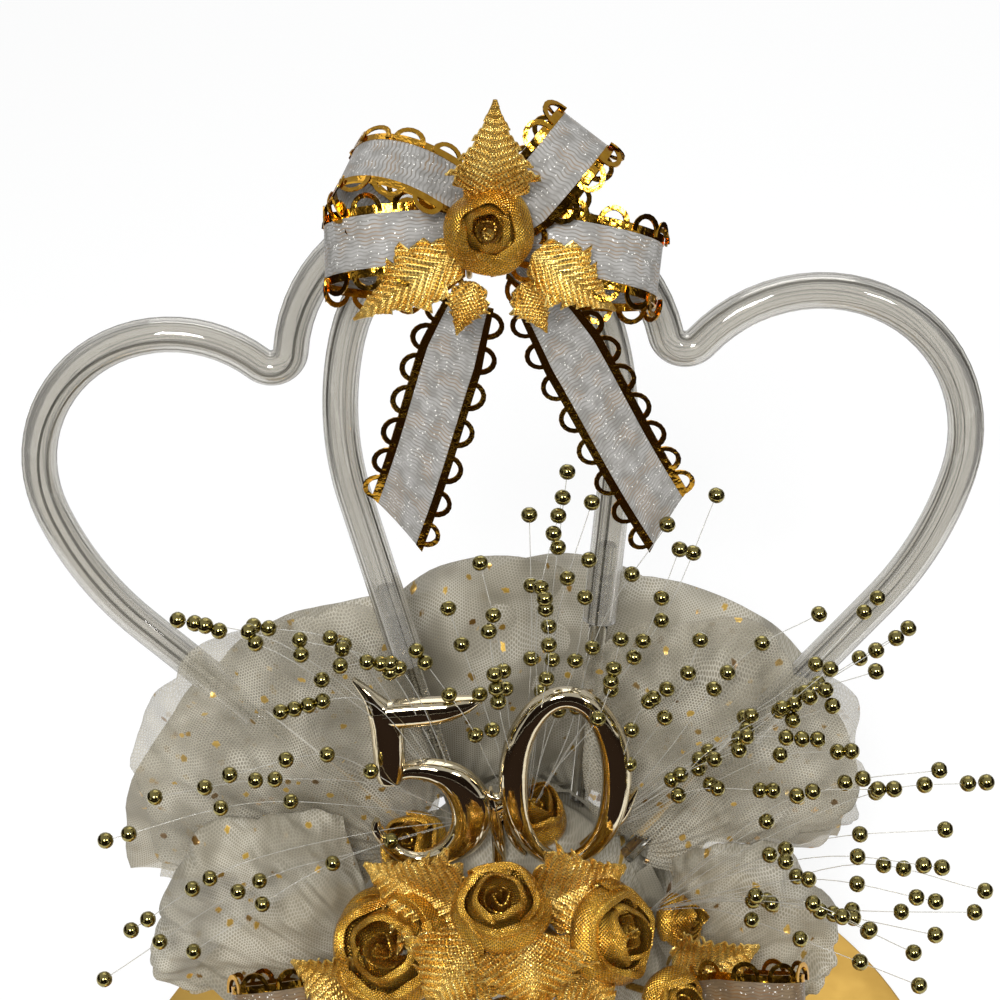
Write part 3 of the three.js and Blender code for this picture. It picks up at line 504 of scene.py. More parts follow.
@dataclass(frozen=True)
class StudioPaper(Finish):
    """Matt white paper of the studio floor."""

    name: str = "studio paper, matt white"
    white: str = "#F6F6F5"
    glow: float = 1.12
    glow_share: float = 0.55

    def shade(self, tree: Tree) -> Node:
        """Matt white that the camera, mirrors and clear plastic see as a white ground with a soft shadow."""
        paper = add_node(tree, "BsdfDiffuse", {"Color": self.white})
        glow = add_node(tree, "Emission", {"Color": "#FFFFFF", "Strength": self.glow})
        path = add_node(tree, "LightPath").outputs
        mirrored = add_node(tree, "Math", (path["Is Glossy Ray"], path["Is Transmission Ray"]),
                            operation="MAXIMUM")
        seen = add_node(tree, "Math", (path["Is Camera Ray"], mirrored), operation="MAXIMUM")
        share = add_node(tree, "Math", (seen, self.glow_share), operation="MULTIPLY")
        return add_node(tree, "MixShader", (share, paper, glow))


@dataclass(frozen=True)
class BlackCard(Finish):
    """Black card of the studio, which gives metal and clear plastic their dark lines."""

    name: str = "studio card, matt black"
    black: str = "#261D18"

    def shade(self, tree: Tree) -> Node:
        """Plain matt black."""
        return add_node(tree, "BsdfDiffuse", {"Color": self.black})


# Modelling steps

def take(piece: Piece, *others: Piece) -> None:
    """Selects these pieces and nothing else, with the first one active.

    Args:
        piece: the piece that becomes active.
        others: more pieces to select.
    """
    bpy.ops.object.select_all(action="DESELECT")
    for each in (piece, *others):
        each.select_set(True)
    bpy.context.view_layer.objects.active = piece


def shaped_sheet(name: str, across: int, along: int, surface: Surface, size: tuple[float, float]) -> Piece:
    """A grid laid over a surface, with its own UV map in millimetres of cloth.

    Args:
        name: the piece's name.
        across: cells in the u direction.
        along: cells in the v direction.
        surface: the point in millimetres for each u and v from 0 to 1.
        size: the cloth's width and length in millimetres.

    Returns:
        The new piece.
    """
    bpy.ops.object.select_all(action="DESELECT")
    bpy.ops.mesh.primitive_grid_add(x_subdivisions=across, y_subdivisions=along, size=1)
    sheet = bpy.context.object
    sheet.name = name
    for corner in sheet.data.uv_layers.active.data:
        corner.uv = (corner.uv.x * size[0], corner.uv.y * size[1])
    for vertex in sheet.data.vertices:
        vertex.co = surface(vertex.co.x + 0.5, vertex.co.y + 0.5) * MM
    return sheet


def close_up(piece: Piece, fill: bool = False) -> Piece:
    """Merges a piece's seams and poles, fills its open ends if asked, and turns its faces out.

    Args:
        piece: the piece to close.
        fill: whether open ends get a face.

    Returns:
        The same piece.
    """
    take(piece)
    bpy.ops.object.mode_set(mode="EDIT")
    bpy.ops.mesh.select_all(action="SELECT")
    bpy.ops.mesh.remove_doubles(threshold=0.002 * MM)
    if fill:
        bpy.ops.mesh.fill_holes(sides=0)
    bpy.ops.mesh.normals_make_consistent(inside=False)
    bpy.ops.object.mode_set(mode="OBJECT")
    return piece


def applied(piece: Piece, kind: str, **settings: Any) -> Piece:
    """Adds a modifier with its settings and applies it.

    Args:
        piece: the piece to change.
        kind: the modifier's type name.
        settings: the modifier's own properties.

    Returns:
        The same piece.
    """
    take(piece)
    bpy.ops.object.modifier_add(type=kind)
    modifier = piece.modifiers[-1]
    for key, value in settings.items():
        setattr(modifier, key, value)
    bpy.ops.object.modifier_apply(modifier=modifier.name)
    return piece


def smoothed(piece: Piece, angle: float = 40) -> Piece:
    """Shades a piece smooth across its flatter edges.

    Args:
        piece: the piece to shade.
        angle: edges flatter than this many degrees are smooth.

    Returns:
        The same piece.
    """
    take(piece)
    bpy.ops.object.shade_smooth_by_angle(angle=math.radians(angle))
    return piece


def coated(piece: Piece, finish: Finish) -> Piece:
    """Gives a piece one finish all over.

    Args:
        piece: the piece to dress.
        finish: its finish.

    Returns:
        The same piece.
    """
    piece.data.materials.clear()
    piece.data.materials.append(finish.material())
    return piece


def moved(piece: Piece, place: Matrix) -> Piece:
    """Places a piece's mesh, with its object left at the origin.

    Args:
        piece: the piece to move.
        place: where it goes, in metres.

    Returns:
        The same piece.
    """
    piece.data.transform(place)
    piece.data.update()
    return piece


def copied(piece: Piece, place: Matrix) -> Piece:
    """A copy of a piece with a mesh of its own, moved to a place.

    Args:
        piece: the pattern.
        place: where the copy goes, in metres.

    Returns:
        The copy.
    """
    take(piece)
    bpy.ops.object.duplicate(linked=False)
    return moved(bpy.context.object, place)


def joined(name: str, pieces: Sequence[Piece]) -> Piece:
    """Makes several meshes one piece.

    Args:
        name: the whole's name.
        pieces: what it is made of.

    Returns:
        The whole.
    """
    take(*pieces)
    if len(pieces) > 1:
        bpy.ops.object.join()
    whole = bpy.context.view_layer.objects.active
    whole.name = name
    whole.data.name = name
    return whole


def removed(*pieces: Piece) -> None:
    """Deletes pieces that were only patterns for copies."""
    take(*pieces)
    bpy.ops.object.delete()


def in_place(piece: Piece, slot: Slot, *nodes: str) -> Piece:
    """Ties a finished piece to the object's body and hides the nodes that it stands for.

    Args:
        piece: the finished piece.
        slot: not used.
        nodes: names of the nodes that it replaces.

    Returns:
        The same piece.
    """
    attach(piece, "root")
    if nodes:
        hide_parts(*nodes)
    LOG.info("%s: %d faces", piece.name, len(piece.data.polygons))
    return piece


def frames_along(points: Sequence[Vector], start: Vector) -> list[tuple[Vector, Vector]]:
    """Two directions square to a line at each of its points, without twist.

    Args:
        points: the line's points.
        start: a direction that the first one leans towards.

    Returns:
        The pair of directions at each point.
    """
    pairs = []
    across = start
    last = len(points) - 1
    for k in range(len(points)):
        way = (points[min(k + 1, last)] - points[max(k - 1, 0)]).normalized()
        across = (across - way * across.dot(way)).normalized()
        pairs.append((across, way.cross(across)))
    return pairs


def swept(
    name: str, points: Sequence[Vector], radii: Sequence[float], sides: int, fill: bool = True,
) -> Piece:
    """A round bar through points, with its own radius at each.

    Args:
        name: the piece's name.
        points: the bar's middle line in millimetres.
        radii: the radius at each point.
        sides: flats round the bar.
        fill: whether the ends are closed.

    Returns:
        The new piece.
    """
    pairs = frames_along(points, Vector((0.31, 0.9, 0.3)))
    last = len(points) - 1
    length = sum((b - a).length for a, b in zip(points, points[1:]))

    def skin(u: float, v: float) -> Vector:
        """A point of the bar's skin."""
        k = round(v * last)
        turn = TURN * u
        return points[k] + radii[k] * (pairs[k][0] * math.cos(turn) + pairs[k][1] * math.sin(turn))

    bar = shaped_sheet(name, sides, last, skin, (TURN * max(radii), length))
    return close_up(bar, fill)


def smooth_line(points: Sequence[Sequence[float]], steps: int) -> list[Vector]:
    """A smooth curve through points of any number of dimensions.

    Args:
        points: the points to pass through.
        steps: pieces of the curve between two points.

    Returns:
        The curve's points.
    """
    knots = [Vector(p) for p in points]
    knots = [2 * knots[0] - knots[1], *knots, 2 * knots[-1] - knots[-2]]
    line = []
    for a, b, c, d in zip(knots, knots[1:], knots[2:], knots[3:]):
        for k in range(steps):
            t = k / steps
            line.append(0.5 * (2 * b + (c - a) * t + (2 * a - 5 * b + 4 * c - d) * t ** 2
                               + (3 * b - a - 3 * c + d) * t ** 3))
    line.append(knots[-2])
    return line


def axes(way: Vector, face: Vector) -> tuple[Vector, Vector, Vector]:
    """Directions along, across and in front of a piece.

    Args:
        way: the way that it points.
        face: the way that it looks.

    Returns:
        Three directions of length 1, square to each other.
    """
    way = way.normalized()
    across = way.cross(face).normalized()
    return way, across, across.cross(way).normalized()


def standing(base: Vector, out: Vector, spin: float) -> Matrix:
    """The place of a piece that stands on a point, in metres, with its own Z axis outwards."""
    turn = out.to_track_quat("Z", "Y").to_matrix().to_4x4()
    return Matrix.Translation(base * MM) @ turn @ Matrix.Rotation(spin, 4, "Z")


# Disc and foam

@dataclass
class Base:
    """The mirror disc that stands on the cake, and the foam mound on it."""

    disc_diameter: float = 170
    disc_thickness: float = 3
    disc_edge: float = 0.5
    mound_diameter: float = 76
    mound_height: float = 70
    mound_set_back: float = 10
    gap: float = GAP
    lowest_cloth: float = 1.5
    probe_step: float = 0.25

    @property
    def half(self) -> float:
        """Half the mound's width."""
        return self.mound_diameter / 2

    @property
    def middle(self) -> Vector:
        """The middle of the mound's foot."""
        return self.place((0, 0, 0))

    def place(self, share: Point) -> Vector:
        """A point given in shares of the mound's half widths and height."""
        across, along, up = share
        return Vector((self.half * across, self.mound_set_back + self.half * along,
                       self.disc_thickness + self.gap + self.mound_height * up))

    def normal(self, point: Vector) -> Vector:
        """The mound's outward direction.

        Args:
            point: a point near the mound.

        Returns:
            The direction there, of length 1.
        """
        across, along, up = point - self.middle
        slope = Vector((across / self.half ** 2, along / self.half ** 2, up / self.mound_height ** 2))
        return slope.normalized()

    def share_out(self, offset: Vector) -> float:
        """How far an offset from the foot's middle goes, as a share of the way to the foam's surface."""
        return math.sqrt(offset.xy.length_squared / self.half ** 2 + (offset.z / self.mound_height) ** 2)

    def on_foam(self, point: Vector) -> Vector:
        """The foam's surface on the line from the foot's middle to a point.

        Args:
            point: a point near the mound.

        Returns:
            The place on the surface, a little above the mound's foot or higher.
        """
        offset = point - self.middle
        offset.z = max(offset.z, self.lowest_cloth)
        return self.middle + offset / self.share_out(offset)

    def depth_below(self, point: Vector, out: Vector) -> float:
        """How far below a point the foam starts.

        Args:
            point: a point above the foam.
            out: the way that what stands there points.

        Returns:
            The depth in millimetres, in whole steps.
        """
        depth = 0.0
        while depth < self.half and self.share_out(point - out * depth - self.middle) >= 1:
            depth += self.probe_step
        return depth

    def build(self) -> None:
        """Models and dresses the disc and the mound."""
        self.build_disc()
        self.build_mound()

    def build_disc(self) -> None:
        """A round plate with eased rims."""
        bpy.ops.object.select_all(action="DESELECT")
        bpy.ops.mesh.primitive_cylinder_add(
            vertices=160, radius=self.disc_diameter / 2 * MM, depth=self.disc_thickness * MM,
            location=(0, 0, self.disc_thickness / 2 * MM))
        disc = bpy.context.object
        disc.name = "gold_disc_plate"
        bpy.ops.object.transform_apply(location=True, rotation=False, scale=False)
        applied(disc, "BEVEL", width=self.disc_edge * MM, segments=3, limit_method="ANGLE")
        coated(smoothed(disc, 30), MirrorAcrylic())
        in_place(disc, Slot.DISC, "base_disc")

    def build_mound(self) -> None:
        """Half an egg of foam, flat where it is glued to the disc."""
        bpy.ops.object.select_all(action="DESELECT")
        bpy.ops.mesh.primitive_uv_sphere_add(segments=64, ring_count=40, radius=self.half * MM)
        mound = bpy.context.object
        mound.name = "foam_dome"
        bpy.ops.object.mode_set(mode="EDIT")
        bpy.ops.mesh.select_all(action="SELECT")
        bpy.ops.transform.resize(value=(1, 1, self.mound_height / self.half))
        bpy.ops.mesh.bisect(plane_co=(0, 0, 0), plane_no=(0, 0, 1), clear_inner=True, use_fill=True)
        bpy.ops.mesh.select_all(action="SELECT")
        bpy.ops.mesh.normals_make_consistent(inside=False)
        bpy.ops.object.mode_set(mode="OBJECT")
        moved(mound, Matrix.Translation(self.middle * MM))
        coated(smoothed(mound), ExpandedFoam())
        in_place(mound, Slot.FOAM, "foam_mound")


# Hearts

@dataclass
class Strand:
    """One side of a heart: its lobe's radius, its leg's lean in degrees and where its tube ends."""

    lobe: float
    leg: float
    end: float


@dataclass
class TubeHeart:
    """A clear tube bent into a heart, and the ribbed pegs that carry its ends."""

    name: str
    side: int
    tilt: float
    outer: Strand
    inner: Strand
    tube_diameter: float = 6.35
    wall: float = 1.1
    lean: float = LEAN
    set_back: float = 11.3
    tip_height: float = 48
    lobe_height: float = 108.5
    notch_radius: float = 3.6
    side_radius: float = 60
    gap: float = GAP
    peg_insert: float = 14
    peg_foot: float = 13
    peg_plain_top: float = 5
    rib_depth: float = 0.35
    rib_pitch: float = 2
    rib_count: int = 6
    rib_steps: int = 6
    arc_steps: int = 26
    tube_sides: int = 32

    def point(self, outward: float, along: float) -> Vector:
        """A point of the heart's leaning plane.

        Args:
            outward: the way out from the heart's axis.
            along: the way along that axis from the heart's tip.

        Returns:
            The point in millimetres.
        """
        tilt, lean = math.radians(self.tilt), math.radians(self.lean)
        across = self.side * (outward * math.cos(tilt) + along * math.sin(tilt))
        up = along * math.cos(tilt) - outward * math.sin(tilt)
        behind = -self.side * (self.tube_diameter / 2 + self.gap)
        return Vector((across, self.set_back + up * math.sin(lean) + behind * math.cos(lean),
                       self.tip_height + up * math.cos(lean) - behind * math.sin(lean)))

    def leg_outward(self, strand: Strand, along: float) -> float:
        """How far out a straight leg lies.

        Args:
            strand: the leg's side of the heart.
            along: the way along the heart's axis from its tip.

        Returns:
            The way out from the heart's axis.
        """
        bend = math.radians(strand.leg)
        arc_end = self.lobe_height - self.side_radius * math.sin(bend)
        arc_out = 2 * strand.lobe - self.side_radius * (1 - math.cos(bend))
        return arc_out - (arc_end - along) * math.tan(bend)

    def arc(self, centre: float, rise: float, radius: float, start: float, stop: float) -> list[Vector]:
        """Points of an arc in the heart's plane, without its last one.

        Args:
            centre: the way out to the arc's centre.
            rise: the way along to it.
            radius: the arc's radius.
            start: the angle where it starts.
            stop: the angle where it stops.

        Returns:
            The points in millimetres.
        """
        turns = [start + (stop - start) * k / self.arc_steps for k in range(self.arc_steps)]
        return [self.point(centre + radius * math.cos(a), rise + radius * math.sin(a)) for a in turns]

    def route(self) -> list[Vector]:
        """The tube's middle line from its outer end over both lobes to its inner end."""
        outer, inner = self.outer, self.inner
        spacing = outer.lobe + inner.lobe
        outer_reach = outer.lobe + self.notch_radius
        inner_reach = inner.lobe + self.notch_radius
        to_notch = (outer_reach ** 2 - inner_reach ** 2 + spacing ** 2) / (2 * spacing)
        rise = math.sqrt(outer_reach ** 2 - to_notch ** 2)
        outer_stop = math.atan2(rise, -to_notch)
        inner_start = math.atan2(rise, spacing - to_notch)
        notch_out, notch_rise = outer.lobe - to_notch, self.lobe_height + rise
        legs = [math.radians(strand.leg) for strand in (outer, inner)]
        return [
            self.point(self.leg_outward(outer, outer.end), outer.end),
            *self.arc(2 * outer.lobe - self.side_radius, self.lobe_height, self.side_radius, -legs[0], 0),
            *self.arc(outer.lobe, self.lobe_height, outer.lobe, 0, outer_stop),
            *self.arc(notch_out, notch_rise, self.notch_radius, outer_stop - math.pi, inner_start - math.pi),
            *self.arc(-inner.lobe, self.lobe_height, inner.lobe, inner_start, math.pi),
            *self.arc(self.side_radius - 2 * inner.lobe, self.lobe_height, self.side_radius,
                      math.pi, math.pi + legs[1]),
            self.point(-self.leg_outward(inner, inner.end), inner.end),
        ]

    def build(self) -> None:
        """Models and dresses the tube and its two pegs."""
        line = self.route()
        radii = [self.tube_diameter / 2] * len(line)
        tube = swept(f"{self.name}_acrylic", line, radii, self.tube_sides, fill=False)
        applied(tube, "SOLIDIFY", thickness=self.wall * MM, offset=-1)
        coated(smoothed(tube, 50), ClearAcrylic())
        in_place(tube, Slot.ACRYLIC, f"{self.name}_heart_tube")
        self.build_peg("outer", 1, self.outer)
        self.build_peg("inner", -1, self.inner)

    def build_peg(self, which: str, side: int, strand: Strand) -> None:
        """A clear peg with ribs round it below the end that the tube slides over.

        Args:
            which: the strand's name.
            side: 1 for the outer leg and -1 for the inner one.
            strand: the leg that the peg carries.
        """
        reaches = (self.peg_foot, strand.end + self.peg_insert)
        foot, top = (self.point(side * self.leg_outward(strand, along), along) for along in reaches)
        length = (top - foot).length
        radius = self.tube_diameter / 2 - self.wall - self.gap
        rib_foot = length - self.peg_plain_top - self.rib_pitch * self.rib_count
        stations = [(0.0, radius - self.gap), (self.gap, radius), (rib_foot - self.rib_pitch, radius)]
        for k in range(self.rib_count * self.rib_steps):
            wave = 0.5 - 0.5 * math.cos(TURN * k / self.rib_steps)
            stations.append((rib_foot + self.rib_pitch * k / self.rib_steps, radius - self.rib_depth * wave))
        stations += [(length - self.peg_plain_top, radius), (length - self.gap, radius)]
        stations.append((length, radius - self.gap))
        way = (top - foot) / length
        points = [foot + way * along for along, _ in stations]
        peg = swept(f"{self.name}_{which}_peg", points, [r for _, r in stations], 24)
        coated(smoothed(peg, 35), ClearAcrylic("acrylic rod, moulded with ribs", "#EDEBE2", clarity=0.98))
        in_place(peg, Slot.ACRYLIC, f"peg_{self.name}_{which}")


# Number

@dataclass
class Numeral:
    """The plated number fifty: rounded strokes in one leaning plane, joined by a small scroll, on a pick."""

    foot: Point = (-3.19, 0.5, 70.64)
    lean: float = LEAN
    back: float = 0.6
    crown: float = 2.9
    pick_diameter: float = 2.6
    pick_length: float = 16
    section: int = 32

    # Strokes: x, y and half width along each, in the number's own plane
    STEM = [(-24.4, 40.2, 0.4), (-23.2, 38.8, 0.8), (-21.6, 36.6, 1.4), (-19.9, 33.6, 2.5),
            (-19.0, 30.2, 2.95), (-18.9, 25.7, 2.95), (-19.0, 21.4, 2.75), (-19.1, 19.8, 2.2)]
    BAR = [(-20.6, 33.2, 2.1), (-17.5, 33.2, 2.6), (-14.0, 33.3, 2.65), (-9.2, 33.6, 2.45), (-5.3, 34.3, 1.8),
           (-3.4, 34.8, 1.2), (-2.0, 35.2, 0.5)]
    BOWL = [(-18.6, 20.4, 1.0), (-15.1, 21.7, 1.6), (-10.8, 21.3, 2.2), (-7.2, 19.0, 3.1), (-5.0, 15.4, 3.7),
            (-4.6, 11.2, 3.7), (-6.2, 7.2, 3.2), (-9.9, 4.2, 2.2), (-14.2, 3.1, 1.6), (-18.2, 4.5, 1.3),
            (-21.0, 7.6, 1.15), (-22.2, 10.0, 1.0), (-22.0, 11.6, 0.5)]
    SPUR = [(21.4, 8.6, 1.0), (22.9, 10.4, 1.05), (24.2, 12.6, 0.8), (25.8, 15.6, 0.25)]
    SPRIG = [(21.9, 12.4, 0.8), (23.0, 14.2, 0.8), (23.3, 16.6, 0.25)]
    SCROLLS = [
        [(-2.4, 13.4, 0.9), (-0.6, 12.6, 0.95), (1.4, 13.4, 0.9), (3.0, 14.4, 0.7)],
        [(-2.2, 16.4, 0.6), (-0.4, 15.2, 0.7), (0.9, 15.4, 0.65), (2.6, 17.0, 0.5)],
        [(-1.2, 10.6, 0.5), (0.2, 10.8, 0.65), (1.6, 11.6, 0.6), (3.2, 12.2, 0.4)],
        [(-0.9, 17.0, 0.3), (-0.6, 13.5, 1.0), (-0.2, 9.2, 1.25), (0.4, 5.4, 1.0), (1.0, 2.4, 0.35)],
        [(1.2, 15.6, 0.3), (1.6, 12.4, 0.85), (2.3, 8.6, 1.0), (3.4, 5.4, 0.8), (4.8, 3.2, 0.35)],
    ]
    ZERO_MIDDLE = (12.7, 18.1)
    ZERO_HALF = (9.45, 16.8)
    ZERO_LEAN = 0.03
    # Half width of the zero's stroke at its sides, and what its top and its foot lose
    ZERO_STROKE = (2.7, 0.75, 1.5)

    def spot(self, x: float, y: float, front: float) -> Vector:
        """A point in front of the number's plane.

        Args:
            x: across the plane.
            y: up the plane.
            front: how far in front of it.

        Returns:
            The point in millimetres.
        """
        lean = math.radians(self.lean)
        up = Vector((0, math.sin(lean), math.cos(lean)))
        out = Vector((0, -math.cos(lean), math.sin(lean)))
        return Vector(self.foot) + Vector((x, 0, 0)) + up * y + out * front

    def stroke(self, name: str, line: Sequence[Vector], closed: bool = False) -> Piece:
        """A bar with a rounded front and a nearly flat back.

        Args:
            name: the stroke's name.
            line: x, y and half width along it.
            closed: whether its end meets its start.

        Returns:
            The new stroke.
        """
        last = len(line) - 1

        def skin(u: float, v: float) -> Vector:
            """A point of the stroke's skin."""
            k = round(v * last)
            before = line[(k - 1) % last] if closed else line[max(k - 1, 0)]
            after = line[(k + 1) % last] if closed else line[min(k + 1, last)]
            way = Vector((after.x - before.x, after.y - before.y)).normalized()
            turn = TURN * u
            half = line[k].z
            rise = min(self.crown, 0.75 + 0.95 * half) if math.sin(turn) > 0 else self.back
            side = half * math.copysign(abs(math.cos(turn)) ** 0.8, math.cos(turn))
            front = rise * math.copysign(abs(math.sin(turn)) ** 0.62, math.sin(turn))
            return self.spot(line[k].x - way.y * side, line[k].y + way.x * side, self.back + front)

        bar = shaped_sheet(name, self.section, last, skin, (8, 60))
        return close_up(bar, fill=not closed)

    def zero_line(self, steps: int = 96) -> list[Vector]:
        """The oval of the zero, heavy at its sides and thin at its foot.

        Args:
            steps: pieces of the oval.

        Returns:
            x, y and half width along it, with the start again at its end.
        """
        side, top_loss, foot_loss = self.ZERO_STROKE
        line = []
        for k in range(steps + 1):
            turn = TURN * k / steps
            x, y = self.ZERO_HALF[0] * math.cos(turn), self.ZERO_HALF[1] * math.sin(turn)
            top, foot = max(math.sin(turn), 0) ** 2, max(-math.sin(turn), 0) ** 1.6
            half = side - top_loss * top - foot_loss * foot
            line.append(Vector((self.ZERO_MIDDLE[0] + x + self.ZERO_LEAN * y, self.ZERO_MIDDLE[1] + y, half)))
        return line

    def build(self) -> None:
        """Models the strokes and the pick as one moulding and plates it."""
        open_lines = [self.STEM, self.BAR, self.BOWL, self.SPUR, self.SPRIG, *self.SCROLLS]
        parts = [self.stroke(f"stroke_{k}", smooth_line(points, 8)) for k, points in enumerate(open_lines)]
        parts.append(self.stroke("zero", self.zero_line(), closed=True))
        top = self.spot(0, 12, self.back)
        middle = self.spot(0, 0, self.back)
        down = (middle - top).normalized()
        radius = self.pick_diameter / 2
        points = [top, middle, middle + down * (self.pick_length - 3), middle + down * self.pick_length]
        parts.append(swept("pick", points, [radius * 0.8, radius, radius, radius * 0.3], 16))
        number = joined("number_fifty", parts)
        coated(smoothed(number, 55), PlatedPlastic())
        in_place(number, Slot.PLATED, "numeral_50")


# Lame roses and leaves

@dataclass
class RibbonRose:
    """A rose folded from lame ribbon: wrapped petals round a rolled heart, on a wire stem."""

    name: str
    diameter: float
    height: float
    seed: int
    cloth: float = 0.22
    point: float = 0.2
    roll: float = 1.0
    belly: float = 0.55
    lip: float = 0.74
    heart_turns: float = 1.7
    stem_diameter: float = STEM_DIAMETER

    def petal(self, start: float, span: float, reach: float, tall: float, mouth: float, curl: float) -> Piece:
        """One wrapped petal, swelling from the base and drawn in towards its folded lip.

        Args:
            start: where it starts round the rose, in turns.
            span: how far round it goes, in turns.
            reach: its widest radius.
            tall: its height.
            mouth: the radius of its lip as a share of the widest.
            curl: how far its lip rolls outwards.

        Returns:
            The new petal.
        """
        dice = random.Random(f"{self.seed} {start:.3f} {reach:.3f}")
        dip, lean, wave = dice.uniform(0.02, 0.12), dice.uniform(0.08, 0.16), dice.uniform(0, TURN)

        def skin(u: float, v: float) -> Vector:
            """A point of the petal."""
            turn = TURN * (start + span * (u - 0.5))
            swell = min(v / self.belly, 1.0)
            draw = max(v - self.belly, 0.0) / (1 - self.belly)
            radius = reach * (0.22 + 0.78 * math.sin(math.pi / 2 * swell)) * (1 - (1 - mouth) * draw ** 1.4)
            roll = math.pi / 2 * max(v - self.lip, 0.0) / (1 - self.lip)
            radius = radius * (1 + lean * (u - 0.5)) + curl * math.sin(roll)
            edge = abs(2 * u - 1)
            peak = self.point * (1 - edge) ** 1.5 * v ** 3
            rise = tall * (v * (1 - dip * edge ** 3) + peak) - 1.5 * curl * (1 - math.cos(roll))
            radius += 0.035 * reach * math.sin(5 * turn + wave) * v
            rise += 0.07 * tall * math.sin(2 * turn + wave) * v ** 2
            return Vector((radius * math.cos(turn), radius * math.sin(turn), rise))

        return shaped_sheet("petal", 30, 24, skin, (TURN * span * reach, tall * 1.5))

    def heart(self, reach: float) -> Piece:
        """The rolled strip in the middle of the rose.

        Args:
            reach: the roll's radius.

        Returns:
            The new strip.
        """

        def skin(u: float, v: float) -> Vector:
            """A point of the rolled strip."""
            turn = TURN * self.heart_turns * u
            radius = reach * (0.1 + 0.9 * u) * (0.72 + 0.28 * v)
            radius += 0.05 * reach * math.sin(3 * turn)
            rise = self.height * (0.3 + (0.72 - 0.14 * u + 0.05 * math.sin(2.5 * turn)) * v)
            rise -= 0.1 * self.height * v ** 6
            return Vector((radius * math.cos(turn), radius * math.sin(turn), rise))

        return shaped_sheet("rose_heart", 80, 10, skin, (TURN * self.heart_turns * reach * 0.6, self.height))

    def build(self, place: Matrix, stem: float) -> Piece:
        """Models the rose at a place.

        Args:
            place: where its base stands, with its own Z axis outwards.
            stem: length of the wire below its base, or 0 for none.

        Returns:
            The dressed rose.
        """
        dice = random.Random(self.seed)
        # The satin's colours: a lit tone, a painted shade tone and the painted shade between its yarns.
        satin = WovenLame("gold lame ribbon, woven and pressed smooth", "#EDBA48", "#B07A1E", "#4E320C",
                          roughness=0.27, sparkle=0.2)
        radius = self.diameter / 2
        offset = dice.random()
        parts = [self.heart(0.34 * radius)]
        for k in range(2):
            parts.append(self.petal(offset + k / 2, 0.62, 0.62 * radius, 0.94 * self.height, 0.46,
                                    0.12 * self.roll * radius))
        for k in range(3):
            tall = self.height * dice.uniform(0.78, 0.92)
            parts.append(self.petal(offset + 0.2 + k / 3, 0.5, radius * dice.uniform(0.88, 0.96), tall,
                                    dice.uniform(0.46, 0.58), dice.uniform(0.14, 0.26) * self.roll * radius))
        for part in parts:
            close_up(part)
            applied(part, "SOLIDIFY", thickness=self.cloth * MM, offset=0)
            coated(part, satin)
        if stem:
            points = [Vector((0, 0, 0.35 * self.height)), Vector((0, 0, -0.5 * stem)), Vector((0, 0, -stem))]
            wire = swept("stem", points, [self.stem_diameter / 2] * 3, 10)
            parts.append(coated(wire, BrassWire()))
        rose = joined(f"{self.name}_lame", parts)
        moved(rose, place)
        return in_place(smoothed(rose, 45), Slot.LAME, self.name)


@dataclass
class LameLeaf:
    """A stamped lame leaf with a toothed edge, a raised midrib and pressed veins."""

    name: str
    foot: Vector
    along: Vector
    face: Vector
    width: float
    stem: Vector | None = None
    cloth: float = 0.3
    teeth: int = 6
    ribs: int = 13
    fold: float = 0.42
    curl: float = -0.12
    rib_height: float = 0.4
    rib_slant: float = 3.4
    widest: float = 0.32
    stem_diameter: float = STEM_DIAMETER

    def skin(self, u: float, v: float) -> Vector:
        """A point of the leaf's blade.

        Args:
            u: across the leaf.
            v: along it from its foot.

        Returns:
            The point in millimetres.
        """
        length = self.along.length
        way, across, up = axes(self.along, self.face)
        side = 2 * u - 1
        if v < self.widest:
            swell = 0.52 + 0.48 * (v / self.widest) ** 0.8
        else:
            swell = ((1 - v) / (1 - self.widest)) ** 1.15
        tooth = (v * self.teeth + (0.4 if side > 0 else 0.0)) % 1.0
        spread = self.width / 2 * (0.04 + 0.96 * swell * (1.14 - 0.34 * tooth * side ** 2))
        lift = self.fold * abs(side) * spread * min(1.0, 2.5 * v) + self.curl * length * v * v
        pleat = math.sin(TURN * (self.ribs * v - self.rib_slant * abs(side) * swell))
        ribs = self.rib_height * pleat * min(1, 3 * swell) * abs(side) ** 0.5
        slant = 0.3 * abs(side) * spread
        reach = length * v * 0.98 + slant * (1 - v)
        return self.foot + across * (side * spread) + way * reach + up * (lift + ribs)

    def build(self) -> Piece:
        """Models and dresses the leaf, with its wire if it has one."""
        blade = shaped_sheet(self.name, 40, 104, self.skin, (self.width, self.along.length))
        close_up(blade)
        applied(blade, "SOLIDIFY", thickness=self.cloth * MM, offset=0)
        coated(blade, WovenLame())
        parts = [blade]
        if self.stem is not None:
            behind = axes(self.along, self.face)[2] * -self.stem_diameter
            points = [self.foot + self.along * 0.2 + behind, self.foot + behind,
                      self.foot.lerp(self.stem, 0.5), self.stem]
            parts.append(coated(swept("stem", points, [self.stem_diameter / 2] * 4, 10), BrassWire()))
        leaf = joined(f"{self.name}_lame", parts)
        return in_place(smoothed(leaf, 50), Slot.LAME, self.name)


# Ribbon with looped edges

